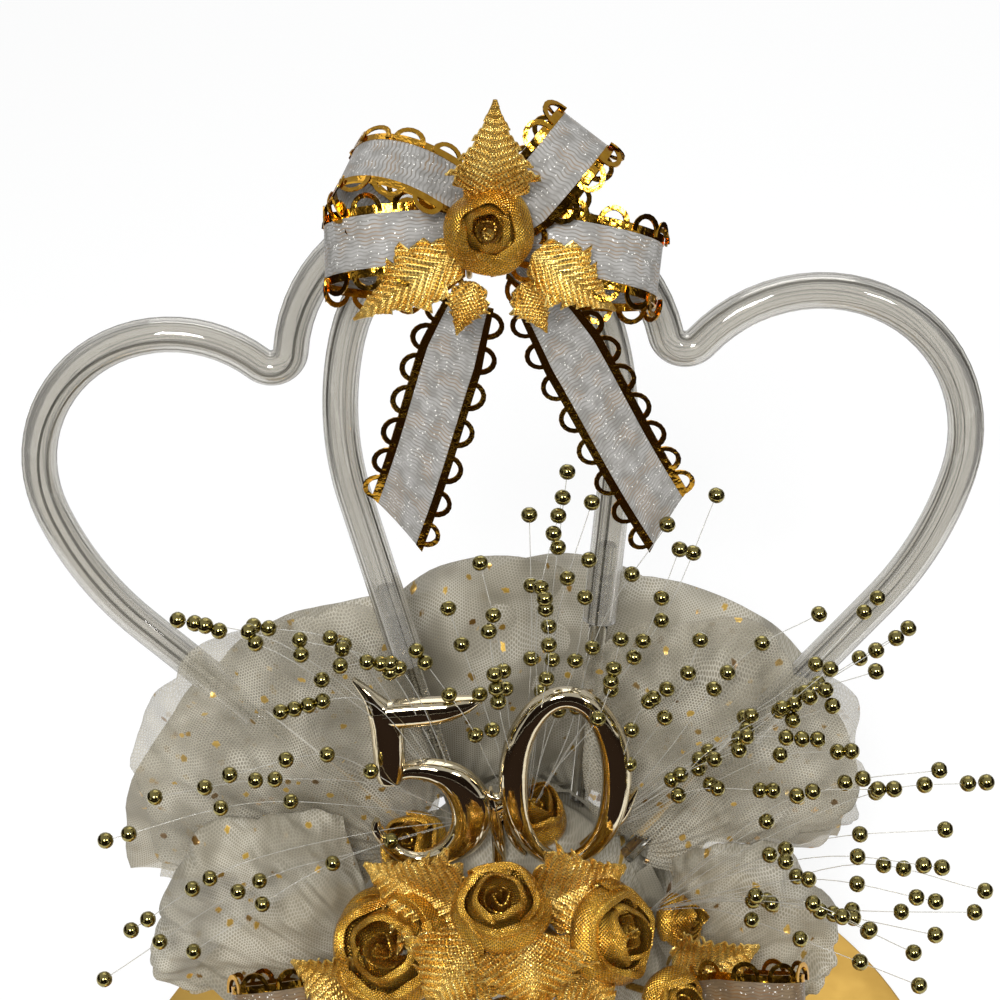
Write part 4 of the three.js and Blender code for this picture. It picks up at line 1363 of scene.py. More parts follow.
@dataclass
class PicotRibbon:
    """A length of sheer ribbon with a foil strip and a row of foil loops along both edges."""

    name: str
    surface: Surface
    length: float
    lines_across: bool = False
    finish: Finish = SheerRibbon()
    width: float = RIBBON_WIDTH
    loop_height: float = 2.75
    loop_half: float = 2.3
    loop_pitch: float = 5.9
    loop_foil: float = 0.6
    loop_steps: int = 10
    strip: float = 1.4
    cloth: float = 0.16

    @property
    def band(self) -> float:
        """The width of the sheer band between the loops."""
        return self.width - 2 * self.loop_height

    def foil_loop(self) -> Piece:
        """One foil loop: an arch that stands on the ribbon's edge, along X and up Y."""
        points = []
        for k in range(self.loop_steps + 1):
            turn = math.pi * (1.12 * k / self.loop_steps - 0.06)
            rise = self.loop_height * 0.9 * math.sin(turn)
            points.append(Vector((-self.loop_half * math.cos(turn), rise, 0)))
        loop = swept("foil_loop", points, [self.loop_foil] * len(points), 4)
        flat = Matrix.Diagonal((1, 1, 0.35, 1))
        return coated(moved(loop, flat), FoilEdge())

    def frame_at(self, u: float, v: float, outward: float) -> Matrix:
        """The place of a foil loop on the ribbon's edge.

        Args:
            u: across the ribbon.
            v: along the ribbon.
            outward: 1 where u grows away from the ribbon and -1 where it falls.

        Returns:
            The matrix from the loop's own axes.
        """
        step = 0.004
        here = self.surface(u, v)
        way = (self.surface(u, v + step) - self.surface(u, v - step)).normalized()
        out = (self.surface(u + step, v) - self.surface(u - step, v)) * outward
        out = (out - way * out.dot(way)).normalized()
        face = way.cross(out)
        turn = Matrix((way, out, face)).transposed().to_4x4()
        return Matrix.Translation(here * MM) @ turn

    def build(self, rests_on: Sequence[str], held: str) -> None:
        """Models and dresses the ribbon.

        Args:
            rests_on: not used.
            held: not used.
        """
        margin = self.loop_height / self.width
        steps = max(24, round(self.length / 0.9))

        def band_skin(u: float, v: float) -> Vector:
            """A point of the sheer band."""
            return self.surface(margin + (1 - 2 * margin) * u, v)

        band = shaped_sheet(f"{self.name}_band", 10, steps, band_skin, (self.band, self.length))
        if self.lines_across:
            for corner in band.data.uv_layers.active.data:
                corner.uv = corner.uv.yx
        close_up(band)
        applied(band, "SOLIDIFY", thickness=self.cloth * MM, offset=0)
        coated(smoothed(band, 60), self.finish)
        trim = self.build_trim(margin, steps)
        in_place(band, Slot.RIBBON, self.name)
        in_place(trim, Slot.RIBBON)

    def build_trim(self, margin: float, steps: int) -> Piece:
        """The foil strips and loops of both edges as one piece.

        Args:
            margin: the share of the width that the loops of one edge take.
            steps: cells along the ribbon.

        Returns:
            The trim.
        """
        pattern = self.foil_loop()
        half = 0.5 * self.strip / self.width
        count = max(2, round(self.length / self.loop_pitch))
        parts = []
        for outward, middle in ((-1, margin), (1, 1 - margin)):
            def strip_skin(u: float, v: float, middle: float = middle) -> Vector:
                """A point of the foil strip."""
                return self.surface(middle + half * (2 * u - 1), v)

            strip = shaped_sheet("foil_strip", 2, steps, strip_skin, (self.strip, self.length))
            close_up(strip)
            applied(strip, "SOLIDIFY", thickness=2.4 * self.cloth * MM, offset=0)
            parts.append(coated(strip, FoilEdge()))
            for k in range(count):
                parts.append(copied(pattern, self.frame_at(middle, (k + 0.5) / count, outward)))
        removed(pattern)
        trim = joined(f"{self.name}_foil_edges", parts)
        return smoothed(trim, 50)


LOOP_FULLNESS = 6.4
LOOP_PINCH = 0.55


def loop_surface(
    start: Vector, out: Vector, face: Vector, length: float, ends: float, sink: float,
) -> Surface:
    """A ribbon loop that goes out in front, turns over and comes back behind, pinched at both ends.

    Args:
        start: where it starts and ends.
        out: the way that it goes out.
        face: the way that its front looks.
        length: how far out it goes.
        ends: the share of a turn that is left out at each end.
        sink: how far its back lies below its front.

    Returns:
        The loop's surface.
    """
    way, across, front = axes(out, face)
    across = across if across.z > 0 else -across

    def skin(u: float, v: float) -> Vector:
        """A point of the loop."""
        turn = TURN * (ends + (1 - 2 * ends) * v)
        share = (1 - math.cos(turn)) / 2
        width = RIBBON_WIDTH * (LOOP_PINCH + (1 - LOOP_PINCH) * min(1.0, share / 0.4))
        drop = sink * (0.5 - 0.5 * math.cos(math.pi * v)) * min(1.0, share / 0.3)
        sag = 0.5 * math.sin(TURN * 1.5 * v) * share
        return (start + way * (share * length) + front * (LOOP_FULLNESS * math.sin(turn) + sag)
                + across * ((u - 0.5) * width - drop))

    return skin


def loop_length(surface: Surface, steps: int = 80) -> float:
    """The length of a ribbon's middle line."""
    points = [surface(0.5, k / steps) for k in range(steps + 1)]
    return sum((b - a).length for a, b in zip(points, points[1:]))


# Bow

@dataclass
class Bow:
    """The bow at the crossing of the hearts: knot, tie wire, loops, tails, leaves and a rose."""

    left: TubeHeart
    right: TubeHeart
    stand_off: Point = (3.4, -12.7, 1.9)
    face: Point = (0, -0.86, 0.5)
    knot_diameter: float = 9
    knot_depth: float = 7
    rose_gap: float = 3.7
    rose_diameter: float = 15.4
    rose_height: float = 9
    tie_wire: float = 1
    tie_slack: float = 1.6
    tie_steps: int = 49
    loop_ends: float = 0.12
    tail_slant: float = 5.5
    leaf_lift: float = 1.2

    # Loops: name, direction, length, drop of the back part, turn about its own direction in degrees
    LOOPS = [("bow_loop_left", (-1, -0.05, 0.06), 27, 4.5, 0),
             ("bow_loop_right", (1, -0.05, -0.16), 29, 4.5, 0),
             ("bow_loop_upper_left", (-0.8, 0.1, 0.52), 26, 3.5, 38),
             ("bow_loop_upper_right", (0.6, 0.1, 0.72), 24, 3.5, 12)]
    # Tails: name, start and end from the bow's middle, side of the longer edge
    TAILS = [("bow_tail_left", (-3.5, -5.5, -9), (-18.2, -9.5, -50), -1),
             ("bow_tail_right", (8, -5.5, -9), (29.4, -9.5, -52), 1)]
    # Leaves: name, foot and tip from the bow's middle, width
    LEAVES = [("bow_leaf_top", (1, -6, 8), (2, -8.5, 26.5), 14),
              ("bow_leaf_left", (-5, -9, 2), (-23.5, -10.5, -9), 11.5),
              ("bow_leaf_low_left", (-2.5, -10, -3), (-6, -13.5, -11), 7.5),
              ("bow_leaf_low_right", (5, -10.5, -3.5), (9, -14, -11), 7.5),
              ("bow_leaf_right", (7, -9, 1), (21, -10.5, -9.5), 11.5)]

    def lobe_top(self, heart: TubeHeart) -> Vector:
        """The highest point of a heart's inner lobe."""
        return heart.point(-heart.inner.lobe, heart.lobe_height + heart.inner.lobe)

    def crossing(self) -> Vector:
        """The place between the two inner lobes where they cross."""
        return self.lobe_top(self.left).lerp(self.lobe_top(self.right), 0.5)

    def build(self) -> None:
        """Models and dresses every piece of the bow."""
        middle = self.crossing() + Vector(self.stand_off)
        face = Vector(self.face).normalized()
        self.build_knot(middle, face)
        self.build_tie(middle)
        base = middle + face * (self.knot_depth / 2 + self.rose_gap)
        rose = RibbonRose("bow_rose", self.rose_diameter, self.rose_height, 11, roll=0.35)
        rose.build(standing(base, face, 2.2), 0)
        for name, foot, tip, width in self.LEAVES:
            start = middle + Vector(foot) + face * self.leaf_lift
            LameLeaf(name, start, Vector(tip) - Vector(foot), face, width).build()
        for name, out, length, sink, twist in self.LOOPS:
            turned = Matrix.Rotation(math.radians(twist), 3, Vector(out)) @ face
            surface = loop_surface(middle, Vector(out), turned, length, self.loop_ends, sink)
            PicotRibbon(name, surface, loop_length(surface), twist > 0).build(["bow_knot"], "folded")
        for name, start, end, longer in self.TAILS:
            surface = self.tail_surface(middle + Vector(start), Vector(end) - Vector(start), longer)
            PicotRibbon(name, surface, loop_length(surface), True).build(["bow_knot"], "hung")

    def tail_surface(self, start: Vector, way: Vector, longer: int) -> Surface:
        """A ribbon end that hangs with a slow wave and is cut at a slant.

        Args:
            start: where it leaves the knot.
            way: from there to its end.
            longer: 1 where the edge at the end of u is the longer one, or -1.

        Returns:
            The tail's surface.
        """
        across = way.normalized().cross(Vector((0, -1, 0))).normalized()
        slant = longer * self.tail_slant / way.length

        def skin(u: float, v: float) -> Vector:
            """A point of the tail."""
            share = v * (1 + slant * (u - 0.5) * 2)
            pinch = 0.72 + 0.28 * min(1.0, v / 0.25)
            wave = Vector((0, 1.2 * math.sin(TURN * v) + 1.0 * math.cos(math.pi * (u - 0.5)) * v, 0))
            return start + way * share + across * ((u - 0.5) * RIBBON_WIDTH * pinch) + wave

        return skin

    def build_knot(self, middle: Vector, face: Vector) -> None:
        """The wrapped lame knot that gathers the loops.

        Args:
            middle: the bow's middle.
            face: the way that the bow looks.
        """
        radius = self.knot_diameter / 2
        depth = self.knot_depth

        def skin(u: float, v: float) -> Vector:
            """A point of the knot: pleats run round it and its ends are drawn in."""
            turn = TURN * u
            bulge = math.sin(math.pi * v) ** 0.35
            pleat = 1 + 0.05 * math.sin(TURN * 4.5 * v) + 0.03 * math.sin(7 * turn)
            return Vector((radius * bulge * pleat * math.cos(turn), radius * bulge * pleat * math.sin(turn),
                           depth * (v - 0.5)))

        knot = close_up(shaped_sheet("bow_knot_wrap", 48, 24, skin, (TURN * radius, depth * 2)))
        moved(knot, standing(middle, face, 0))
        coated(smoothed(knot, 50), WovenLame())
        in_place(knot, Slot.LAME, "bow_knot")

    def build_tie(self, middle: Vector) -> None:
        """The wire that binds the bow to both tubes, with its ends close together.

        Args:
            middle: the bow's middle.
        """
        crossing = self.crossing()
        back = self.lobe_top(self.left).y + self.left.tube_diameter / 2 + self.tie_slack
        front = middle.y - self.knot_depth / 2 - self.tie_slack
        half_depth = (back - front) / 2
        half_height = self.knot_diameter / 2 + self.tie_slack
        points = []
        for k in range(self.tie_steps):
            turn = (k + 0.5) / (self.tie_steps + 0.5) * TURN
            points.append(Vector((crossing.x, front + half_depth * (1 - math.cos(turn)),
                                  crossing.z + half_height * math.sin(turn))))
        tie = swept("bow_binding_wire", points, [self.tie_wire / 2] * len(points), 12)
        coated(smoothed(tie, 50), BrassWire())
        in_place(tie, Slot.WIRE, "bow_tie_wire")


# Flowers of the mound

@dataclass
class FrontFlowers:
    """The roses, leaves and ribbon loops that cover the front of the mound."""

    base: Base
    stem_depth: float = STEM_DEPTH
    loop_ends: float = 0.04
    leaf_face: Point = (0, -0.8, 0.6)
    leaf_turn: float = 0.035
    leaf_ribs: int = 10
    leaf_rib_height: float = 0.62
    loop_sink: float = 2

    # Roses: name, place on the mound, the way it faces (or out of the mound), diameter, height, spin
    ROSES = [("rose_front_centre", (-0.085, -0.65, 0.979), (0, -0.35, 0.94), 18, 12, 0.4),
             ("rose_front_left", (-0.573, -0.504, 0.822), (-0.3, -0.68, 0.67), 23.5, 13, 1.3),
             ("rose_front_right", (0.314, -0.59, 0.88), (0.72, -0.5, 0.48), 20, 13, 2.9),
             ("rose_far_right", (0.697, -0.309, 0.759), None, 11, 9, 0.9),
             ("rose_behind_five", (-0.46, -0.03, 0.91), (-0.3, -0.5, 0.8), 14, 12, 2.0),
             ("rose_behind_zero", (0.116, -0.05, 0.95), (0, -0.25, 0.97), 11, 14, 0.2),
             ("rose_low_right", (0.63, -0.7, 0.72), None, 13, 10, 1.1),
             ("rose_low_centre", (-0.05, -0.86, 0.71), None, 18, 12, 2.4),
             ("rose_low_left", (-0.56, -0.8, 0.58), None, 17, 12, 0.7),
             ("rose_foot_centre", (0.26, -0.99, 0.48), None, 15, 11, 1.8)]
    # Leaves: name, place of the foot, tip from the foot, width
    LEAVES = [("leaf_upper_right", (0.085, -0.553, 0.97), (17, 3, 5.5), 21),
              ("leaf_upper_left", (-0.235, -0.553, 0.96), (-19.5, 5, 7.5), 21),
              ("leaf_left", (-0.74, -0.6, 0.72), (-13, -4, 11), 18),
              ("leaf_right", (0.76, -0.5, 0.66), (15, -3, 9), 18),
              ("leaf_low_centre", (0.03, -0.72, 0.98), (1, -13.5, -9), 22),
              ("leaf_centre_left", (-0.21, -0.70, 0.95), (-9.5, -9, -8.5), 21),
              ("leaf_centre_right", (0.18, -0.70, 0.94), (9.5, -10.5, -8.5), 21)]
    # Ribbon loops: name, place of the start, direction, length
    LOOPS = [("foot_loop_left", (-0.859, -0.5, 0.65), (-0.82, -0.42, 0.3), 23),
             ("foot_loop_right", (0.829, -0.5, 0.6), (0.82, -0.42, 0.3), 23)]

    def build(self) -> None:
        """Models and dresses the flowers."""
        face = Vector(self.leaf_face)
        brown = SheerRibbon("organza ribbon, woven polyester, brown", "#7C674A", "#56432C", "#6E4A1E")
        for seed, (name, share, facing, diameter, height, spin) in enumerate(self.ROSES):
            base = self.base.place(share)
            out = Vector(facing).normalized() if facing else self.base.normal(base)
            stem = self.base.depth_below(base, out) + self.stem_depth
            RibbonRose(name, diameter, height, seed).build(standing(base, out, spin), stem)
        for name, share, tip, width in self.LEAVES:
            foot = self.base.place(share)
            out = self.base.normal(foot)
            stem = foot - out * (self.base.depth_below(foot, out) + self.stem_depth)
            turned = face + Vector((self.leaf_turn * tip[0], 0, 0))
            LameLeaf(name, foot, Vector(tip), turned, width, stem,
                     ribs=self.leaf_ribs, rib_height=self.leaf_rib_height).build()
        for name, share, out, length in self.LOOPS:
            start = self.base.place(share)
            surface = loop_surface(start, Vector(out), face, length, self.loop_ends, self.loop_sink)
            PicotRibbon(name, surface, loop_length(surface), finish=brown).build(["foam_dome"], "folded")


# Tulle

@dataclass
class TullePuff:
    """A puff of net folded over at its rim and gathered at the mound on a short wire."""

    name: str
    gather: Point
    way: Point
    face: Point
    reach: float
    opening: float
    cup: float
    seed: int
    spread: float = 1.45
    flare: float = 0.9
    collar: float = 28
    sheer: bool = True
    droop: float = 0.17
    lobes: int = 4
    gathers: int = 17
    plump: float = 6.5
    root: float = 0.09
    stem_diameter: float = STEM_DIAMETER
    stem_depth: float = STEM_DEPTH

    def skin(self, base: Base) -> Surface:
        """The puff's surface: out over the front to the rim and back behind, in rounded lobes.

        Args:
            base: the mound that it is gathered on.

        Returns:
            The surface.
        """
        way, across, front = axes(Vector(self.way), Vector(self.face))
        start = base.place(self.gather)

        def point(u: float, v: float) -> Vector:
            """A point of the net."""
            side = 2 * u - 1
            fold = 1 - abs(2 * v - 1)
            layer = 1 if v < 0.5 else -1
            rise = math.sin(math.pi / 2 * fold)
            share = self.root + (1 - self.root) * rise
            drift = noise.noise(Vector((1.4 * side + 9 * self.seed, 0.6 * share, 0.3)))
            spot = Vector((3 * side + 5 * self.seed, 2.6 * share, 0.8 * layer * (1 - rise)))
            crumple = noise.noise(spot * 1.5)
            fine = noise.noise(spot * 4.2 + Vector((7, 3, 1)))
            lobe = abs(math.sin(math.pi * self.lobes * u + 1.5 * drift)) ** 0.45
            flare = 1 + self.flare * (1 - share) ** 2
            turn = (side + 0.05 * drift * share) * math.radians(self.opening) * self.spread * flare
            ragged = noise.noise(Vector((2.6 * side + 4 * self.seed, 0.4, 1.7)))
            rim = (0.95 + 0.05 * lobe) * (1 - self.droop * side ** 2)
            rim += 0.1 * ragged + 0.05 * crumple + 0.015 * fine
            reach = share * self.reach * rim
            ends = max(0.0, 1 - side ** 2) ** 0.5
            pocket = 1 + share ** 2 * (0.4 * lobe - 0.3)
            thick = self.plump * math.cos(math.pi / 2 * fold) * rise ** 0.5 * ends * pocket
            pleat = math.cos(TURN * self.gathers * u + 2 * crumple + layer) * max(0.0, 1 - share / 0.6)
            wave = 0.9 * share ** 0.5 * pleat + 5.0 * share * crumple + 2.2 * share * fine
            return (start + way * (reach * math.cos(turn)) + across * (reach * math.sin(turn))
                    + front * (wave + layer * thick + self.cup * share ** 2))

        return point

    def collar_skin(self, base: Base) -> Surface:
        """The net's loose end, which ruffles out round the gather over the foam.

        Args:
            base: the mound that it lies on.

        Returns:
            The surface.
        """
        start = base.place(self.gather)
        out = base.normal(start)
        side = out.orthogonal().normalized()
        other = out.cross(side)

        def point(u: float, v: float) -> Vector:
            """A point of the collar."""
            turn = TURN * u
            wide = noise.noise(Vector((2 * math.cos(turn), 2 * math.sin(turn), 3.0 * self.seed)))
            reach = 1.2 + v * self.collar * (0.86 + 0.3 * wide)
            spot = base.on_foam(start + (side * math.cos(turn) + other * math.sin(turn)) * reach)
            ruffle = 1 + math.cos(11 * turn + 5 * wide)
            return spot + base.normal(spot) * (0.7 + 1.5 * v * ruffle)

        return point

    def lay_threads(self, sheet: Piece, across: Vector, way: Vector) -> None:
        """Lays the net's threads over a sheet as it was cut, turned and drifting a little.

        Args:
            sheet: the sheet, whose second half along is its back layer.
            across: the way that the threads' first coordinate runs.
            way: the way that their second one runs.
        """
        corners = sheet.data.uv_layers.active.data
        middle = max(corner.uv.y for corner in corners) / 2
        for polygon in sheet.data.polygons:
            back = sum(corners[k].uv.y for k in polygon.loop_indices) / len(polygon.loop_indices) > middle
            turn = Matrix.Rotation(-0.15 if back else 0.12, 2)
            polygon.material_index = int(back and len(sheet.data.materials) > 1)
            for k in polygon.loop_indices:
                spot = sheet.data.vertices[sheet.data.loops[k].vertex_index].co / MM
                drift = Vector((noise.noise(spot * 0.07), noise.noise(spot * 0.07 + Vector((9, 4, 2)))))
                corners[k].uv = turn @ (Vector((spot.dot(across), spot.dot(way))) + 2.2 * drift)

    def build(self, base: Base) -> None:
        """Models and dresses the puff.

        Args:
            base: the mound that it is gathered on.
        """
        surface = self.skin(base)
        bunched = TulleNet()
        single = TulleNet("nylon tulle net, knitted, glittered, one layer",
                          film_alpha=0.42, thread_alpha=0.82)
        faint = TulleNet("nylon tulle net, knitted, glittered, drawn thin",
                         film_alpha=0.14, thread_alpha=0.45)
        puff = shaped_sheet("puff", 84, 44, surface, (2 * self.reach, 2 * self.reach))
        collar = shaped_sheet("collar", 60, 10, self.collar_skin(base), (TURN * self.collar, self.collar))
        way, across, _ = axes(Vector(self.way), Vector(self.face))
        coated(puff, single if self.sheer else bunched)
        coated(collar, bunched)
        if self.sheer:
            puff.data.materials.append(faint.material())
        self.lay_threads(puff, across, way)
        self.lay_threads(collar, across, way)
        close_up(puff)
        close_up(collar)
        net = smoothed(joined(self.name, [puff, collar]), 180)
        start = base.place(self.gather)
        inward = -base.normal(start)
        top = start + Vector(self.way).normalized() * (self.root * self.reach)
        points = [top, start + inward * 0.5, start + inward * self.stem_depth]
        wire = swept(f"{self.name}_wire", points, [self.stem_diameter / 2] * 3, 8)
        coated(smoothed(wire), BrassWire())
        net.name = f"{self.name}_net"
        in_place(net, Slot.TULLE, self.name)
        in_place(wire, Slot.WIRE)


# Bead sprays

@dataclass
class BeadSpray:
    """Plated beads on clear filaments that fan out of one wire."""

    name: str
    root: Point
    tips: Sequence[Point]
    lift: Point
    seed: int
    bead: float = 3.0
    filament: float = 0.16
    most_beads: int = 4
    bare_share: float = 0.42
    pair_chance: float = 0.3
    pair_step: float = 0.055
    stem_diameter: float = STEM_DIAMETER
    stem_depth: float = STEM_DEPTH

    def bead_pattern(self) -> Piece:
        """One bead: a ball pressed in a little where the filament passes through."""
        bpy.ops.object.select_all(action="DESELECT")
        bpy.ops.mesh.primitive_uv_sphere_add(segments=12, ring_count=8, radius=self.bead / 2 * MM)
        ball = bpy.context.object
        bpy.ops.object.mode_set(mode="EDIT")
        bpy.ops.mesh.select_all(action="SELECT")
        bpy.ops.transform.resize(value=(1, 1, 0.95))
        bpy.ops.object.mode_set(mode="OBJECT")
        for vertex in ball.data.vertices:
            if vertex.co.xy.length < 0.01 * MM:
                vertex.co.z *= 0.9
        return coated(smoothed(ball, 180), PlatedBead())

    def line(self, start: Vector, tip: Vector, dice: random.Random) -> list[Vector]:
        """The middle line of one filament, which springs up and droops towards its tip.

        Args:
            start: where it leaves the wire.
            tip: where its last bead sits.
            dice: the spray's random numbers.

        Returns:
            The line's points.
        """
        lift = Vector(self.lift) * dice.uniform(0.6, 1.3)
        jitter = Vector((dice.uniform(-3, 3), dice.uniform(-3, 3), dice.uniform(-2, 4)))
        knots = [start, start.lerp(tip, 0.3) + lift * 0.8, start.lerp(tip, 0.65) + lift * 0.9 + jitter, tip]
        return smooth_line(knots, 6)

    def build(self, base: Base) -> None:
        """Models and dresses the spray.

        Args:
            base: the mound that it stands in.
        """
        dice = random.Random(self.seed)
        start = base.place(self.root)
        inward = -base.normal(start)
        pattern = self.bead_pattern()
        wire = swept("spray_wire", [start - inward, start + inward * 3, start + inward * self.stem_depth],
                     [self.stem_diameter / 2] * 3, 8)
        parts = [coated(wire, BrassWire())]
        for tip in self.tips:
            line = self.line(start - inward * 0.6, Vector(tip), dice)
            thread = swept("filament", line, [self.filament / 2] * len(line), 5)
            parts.append(coated(thread, NylonFilament()))
            for share in self.bead_shares(dice):
                at = share * (len(line) - 1)
                k = min(int(at), len(line) - 2)
                way = line[k + 1] - line[k]
                spot = line[k] + way * (at - k)
                parts.append(copied(pattern, standing(spot, way.normalized(), 0)))
        removed(pattern)
        spray = joined(f"{self.name}_beads", parts)
        in_place(smoothed(spray, 80), Slot.BEADS, self.name)

    def bead_shares(self, dice: random.Random) -> list[float]:
        """Where the beads of one filament sit, singly or in pairs, with one at its tip.

        Args:
            dice: the spray's random numbers.

        Returns:
            Shares of the filament's length.
        """
        shares = [1.0]
        place = 1.0
        while len(shares) < self.most_beads and place > self.bare_share:
            place -= self.pair_step if dice.random() < self.pair_chance else dice.uniform(0.12, 0.24)
            shares.append(place)
        return shares


# Studio

@dataclass
class Studio:
    """Camera, floor and soft lamps."""

    camera_place: Point = (0, -0.274, 0.330)
    pitch: float = 33
    roll: float = 2.6
    lens: float = 72
    sensor: float = 36
    floor_half: float = 6
    floor_drop: float = 0.0002
    sky: str = "#F2F3F5"
    sky_strength: float = 0.57
    lamp_aim: Point = (0, 0.01, 0.1)

    # Lamps: name, place in metres, side of the face in metres, power in watts
    LAMPS = [("lens_lamp", (-0.10, -0.52, 0.60), 0.18, 3.8),
             ("right_lamp", (0.36, -0.40, 0.52), 0.09, 1.1),
             ("back_lamp", (0.1, 0.95, 1.05), 1.0, 4.4)]
    # Black cards: name, middle, the point that it faces, width and height, all in metres
    CARDS = [("floor_card", (0, -0.66, 0.001), (0, -0.66, 1), (2.4, 1.06)),
             ("front_card", (0, -1.2, 0.5), (0, 0, 0.12), (2.4, 1.4)),
             ("side_card_-1", (-0.9, 0.1, 0.3), (0, 0, 0.12), (1.2, 0.5)),
             ("side_floor_card_-1", (-0.85, 0.6, 0.001), (-0.85, 0.6, 1), (1.2, 1.6)),
             ("side_card_1", (0.9, 0.1, 0.3), (0, 0, 0.12), (1.2, 0.5)),
             ("side_floor_card_1", (0.85, 0.6, 0.001), (0.85, 0.6, 1), (1.2, 1.6))]

    def build(self) -> None:
        """Sets up the view and the light."""
        scene = bpy.context.scene
        scene.view_settings.view_transform = "Standard"
        scene.cycles.transparent_max_bounces = 48
        self.build_camera(scene)
        self.build_floor()
        self.build_light(scene)

    def build_camera(self, scene: bpy.types.Scene) -> None:
        """The photograph's camera, which looks down and is turned a little on its axis.

        Args:
            scene: the scene that gets it.
        """
        pitch, roll = math.radians(self.pitch), math.radians(self.roll)
        right = Vector((1, 0, 0))
        down = Vector((0, -math.sin(pitch), -math.cos(pitch)))
        ahead = Vector((0, math.cos(pitch), -math.sin(pitch)))
        x_axis = right * math.cos(roll) + down * math.sin(roll)
        y_axis = right * math.sin(roll) - down * math.cos(roll)
        data = bpy.data.cameras.new("camera")
        data.lens = self.lens
        data.sensor_width = self.sensor
        data.clip_start = 0.01
        camera = bpy.data.objects.new("camera", data)
        scene.collection.objects.link(camera)
        turn = Matrix((x_axis, y_axis, -ahead)).transposed().to_4x4()
        camera.matrix_world = Matrix.Translation(Vector(self.camera_place)) @ turn
        scene.camera = camera

    def build_floor(self) -> None:
        """A pale matt floor that takes the shadow."""
        bpy.ops.object.select_all(action="DESELECT")
        bpy.ops.mesh.primitive_plane_add(size=2 * self.floor_half, location=(0, 0, -self.floor_drop))
        floor = bpy.context.object
        floor.name = "studio_floor"
        coated(floor, StudioPaper())

    def card(self, name: str, place: Point, aim: Point, size: tuple[float, float]) -> None:
        """A black card that only reflections and refractions see.

        Args:
            name: the card's name.
            place: its middle, in metres.
            aim: the point that it faces.
            size: its width and height in metres.
        """
        bpy.ops.object.select_all(action="DESELECT")
        bpy.ops.mesh.primitive_plane_add(size=1)
        board = bpy.context.object
        board.name = name
        way = (Vector(aim) - Vector(place)).normalized()
        turn = way.to_track_quat("Z", "Y").to_matrix().to_4x4()
        moved(board, Matrix.Translation(Vector(place)) @ turn @ Matrix.Diagonal((size[0], size[1], 1, 1)))
        coated(board, BlackCard())
        board.visible_camera = False
        board.visible_diffuse = False
        board.visible_shadow = False

    def lamp(self, name: str, place: Point, size: float, power: float) -> None:
        """A square soft lamp that looks at the middle of the object.

        Args:
            name: the lamp's name.
            place: where it hangs, in metres.
            size: the side of its face in metres.
            power: its power in watts.
        """
        data = bpy.data.lights.new(name, "AREA")
        data.size = size
        data.energy = power
        lamp = bpy.data.objects.new(name, data)
        lamp.location = place
        lamp.rotation_euler = (Vector(self.lamp_aim) - Vector(place)).to_track_quat("-Z", "Y").to_euler()
        bpy.context.scene.collection.objects.link(lamp)

    def build_light(self, scene: bpy.types.Scene) -> None:
        """Even light all round, a lamp on each side of the lens, a broad one behind, and black cards.

        Args:
            scene: the scene that gets it.
        """
        world = bpy.data.worlds.new("studio")
        world.use_nodes = True
        sky = world.node_tree.nodes["Background"].inputs
        sky["Color"].default_value = linear(self.sky)
        sky["Strength"].default_value = self.sky_strength
        scene.world = world
        for lamp in self.LAMPS:
            self.lamp(*lamp)
        for card in self.CARDS:
            self.card(*card)


# The whole topper

# Puffs: name, gather in shares of the mound, way, face, reach, half opening in degrees, cup, seed
PUFFS = [
    TullePuff("tulle_left_upper", (-0.53, 0.1, 0.85), (-0.68, 0.05, 0.7), (0, -1, 0.2), 57, 34, -5, 1,
              collar=48),
    TullePuff("tulle_left_lower", (-0.8, -0.26, 0.6), (-0.85, 0.1, 0.78), (0, -1, 0.3), 43, 36, 0, 2,
              spread=1.24, sheer=False),
    TullePuff("tulle_right_upper", (0.55, 0.02, 0.85), (0.62, 0.06, 0.78), (0, -1, 0.2), 54, 34, -5, 3,
              collar=48),
    TullePuff("tulle_right_lower", (0.86, -0.2, 0.53), (0.86, 0.1, 0.66), (0, -1, 0.3), 31, 42, 0, 4,
              spread=1.4, sheer=False),
    TullePuff("tulle_back_left", (-0.316, 0.7, 0.7), (-0.22, 0.05, 1), (0, -1, 0.2), 55, 36, -7, 5,
              spread=2.5, flare=0.2, collar=42, sheer=False, droop=-0.38),
    TullePuff("tulle_back_right", (0.368, 0.7, 0.7), (0.3, 0.05, 1), (0, -1, 0.2), 55, 36, -9, 6,
              spread=2.5, flare=0.2, collar=42, sheer=False, droop=-0.08),
    TullePuff("tulle_back_low_left", (-0.53, 0.85, 0.353), (-0.7, 0.6, 0.45), (0.3, 1, 0.6), 42, 52, -6, 7,
              spread=1.3, flare=0.3, collar=24, sheer=False),
    TullePuff("tulle_back_low_right", (0.53, 0.85, 0.353), (0.7, 0.6, 0.45), (-0.3, 1, 0.6), 42, 52, -6, 8,
              spread=1.3, flare=0.3, collar=24, sheer=False),
    TullePuff("tulle_front_low_left", (-0.5, -0.96, 0.24), (-0.6, -0.75, 0.1), (0, -0.3, 1), 40, 46, -7, 9,
              spread=1.3, flare=0.3, collar=24),
    TullePuff("tulle_front_low_right", (0.5, -0.96, 0.24), (0.6, -0.75, 0.1), (0, -0.3, 1), 40, 46, -7, 10,
              spread=1.3, flare=0.3, collar=24),
]

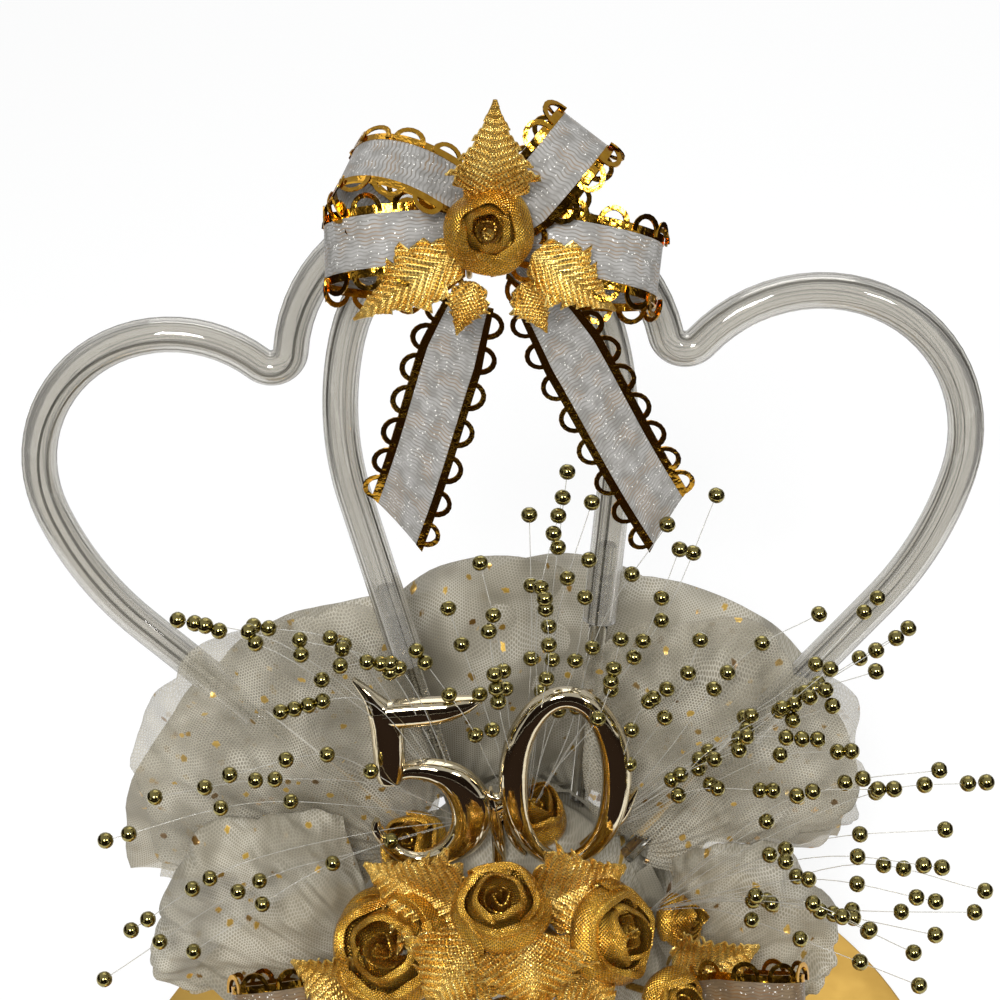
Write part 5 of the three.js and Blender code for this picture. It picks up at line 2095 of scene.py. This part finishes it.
# Sprays: name, root in shares of the mound, tips of the filaments, lift of their middles, seed
SPRAYS = [
    BeadSpray("spray_left", (-0.237, -0.079, 1.039), [
        (-72, -10, 91), (-70, -12, 71), (-76, -14, 61), (-57, 8, 125), (-52, 6, 125), (-44, 8, 123),
        (-36, 6, 121), (-49, -8, 103), (-63, -6, 97), (-59, -14, 67), (-29, 2, 118), (-40, 0, 110),
    ], (2, -2, 10), 21),
    BeadSpray("spray_top", (0.053, -0.08, 1.024), [
        (11, 20, 139), (16, 18, 139), (5, 18, 137), (-4, 14, 130), (-10, 12, 122), (38, 20, 138),
        (29, 16, 135), (31, 14, 131), (15, 12, 131), (12, 22, 143), (7, 8, 126), (-3, 6, 121),
        (-16, 8, 116), (20, 6, 118),
    ], (0, -3, 2), 22),
    BeadSpray("spray_right", (0.37, -0.11, 0.98), [
        (71, 8, 116), (68, 4, 117), (64, 0, 113), (56, 0, 114), (55, -2, 111), (56, -4, 109), (59, -8, 102),
        (66, 12, 120), (55, 8, 120), (53, -8, 105), (34, 6, 117), (28, 4, 108), (40, -4, 100), (46, -6, 92),
    ], (0, -3, 5), 23),
    BeadSpray("spray_forward_right", (0.632, -0.316, 0.81), [
        (82, -12, 97), (73, -14, 102), (65, -16, 100), (74, -18, 92), (81, -22, 81), (79, -24, 78),
        (73, -22, 87), (72, -24, 81), (72, -26, 75), (68, -28, 73), (69, -30, 67), (60, -28, 79),
    ], (-2, -3, 9), 24),
]


def main() -> None:
    """Builds the topper piece by piece."""
    logging.basicConfig(level=logging.INFO, format="%(message)s")
    Studio().build()
    base = Base()
    base.build()
    left = TubeHeart("left", -1, 18.6, Strand(24.8, 26, 58), Strand(28.4, 26, 52))
    right = TubeHeart("right", 1, 15.8, Strand(27.3, 27, 50), Strand(28.4, 29, 50))
    for heart in (left, right):
        heart.build()
    Numeral().build()
    Bow(left, right).build()
    FrontFlowers(base).build()
    for puff in PUFFS:
        puff.build(base)
    for spray in SPRAYS:
        spray.build(base)


if __name__ == "__main__":
    main()
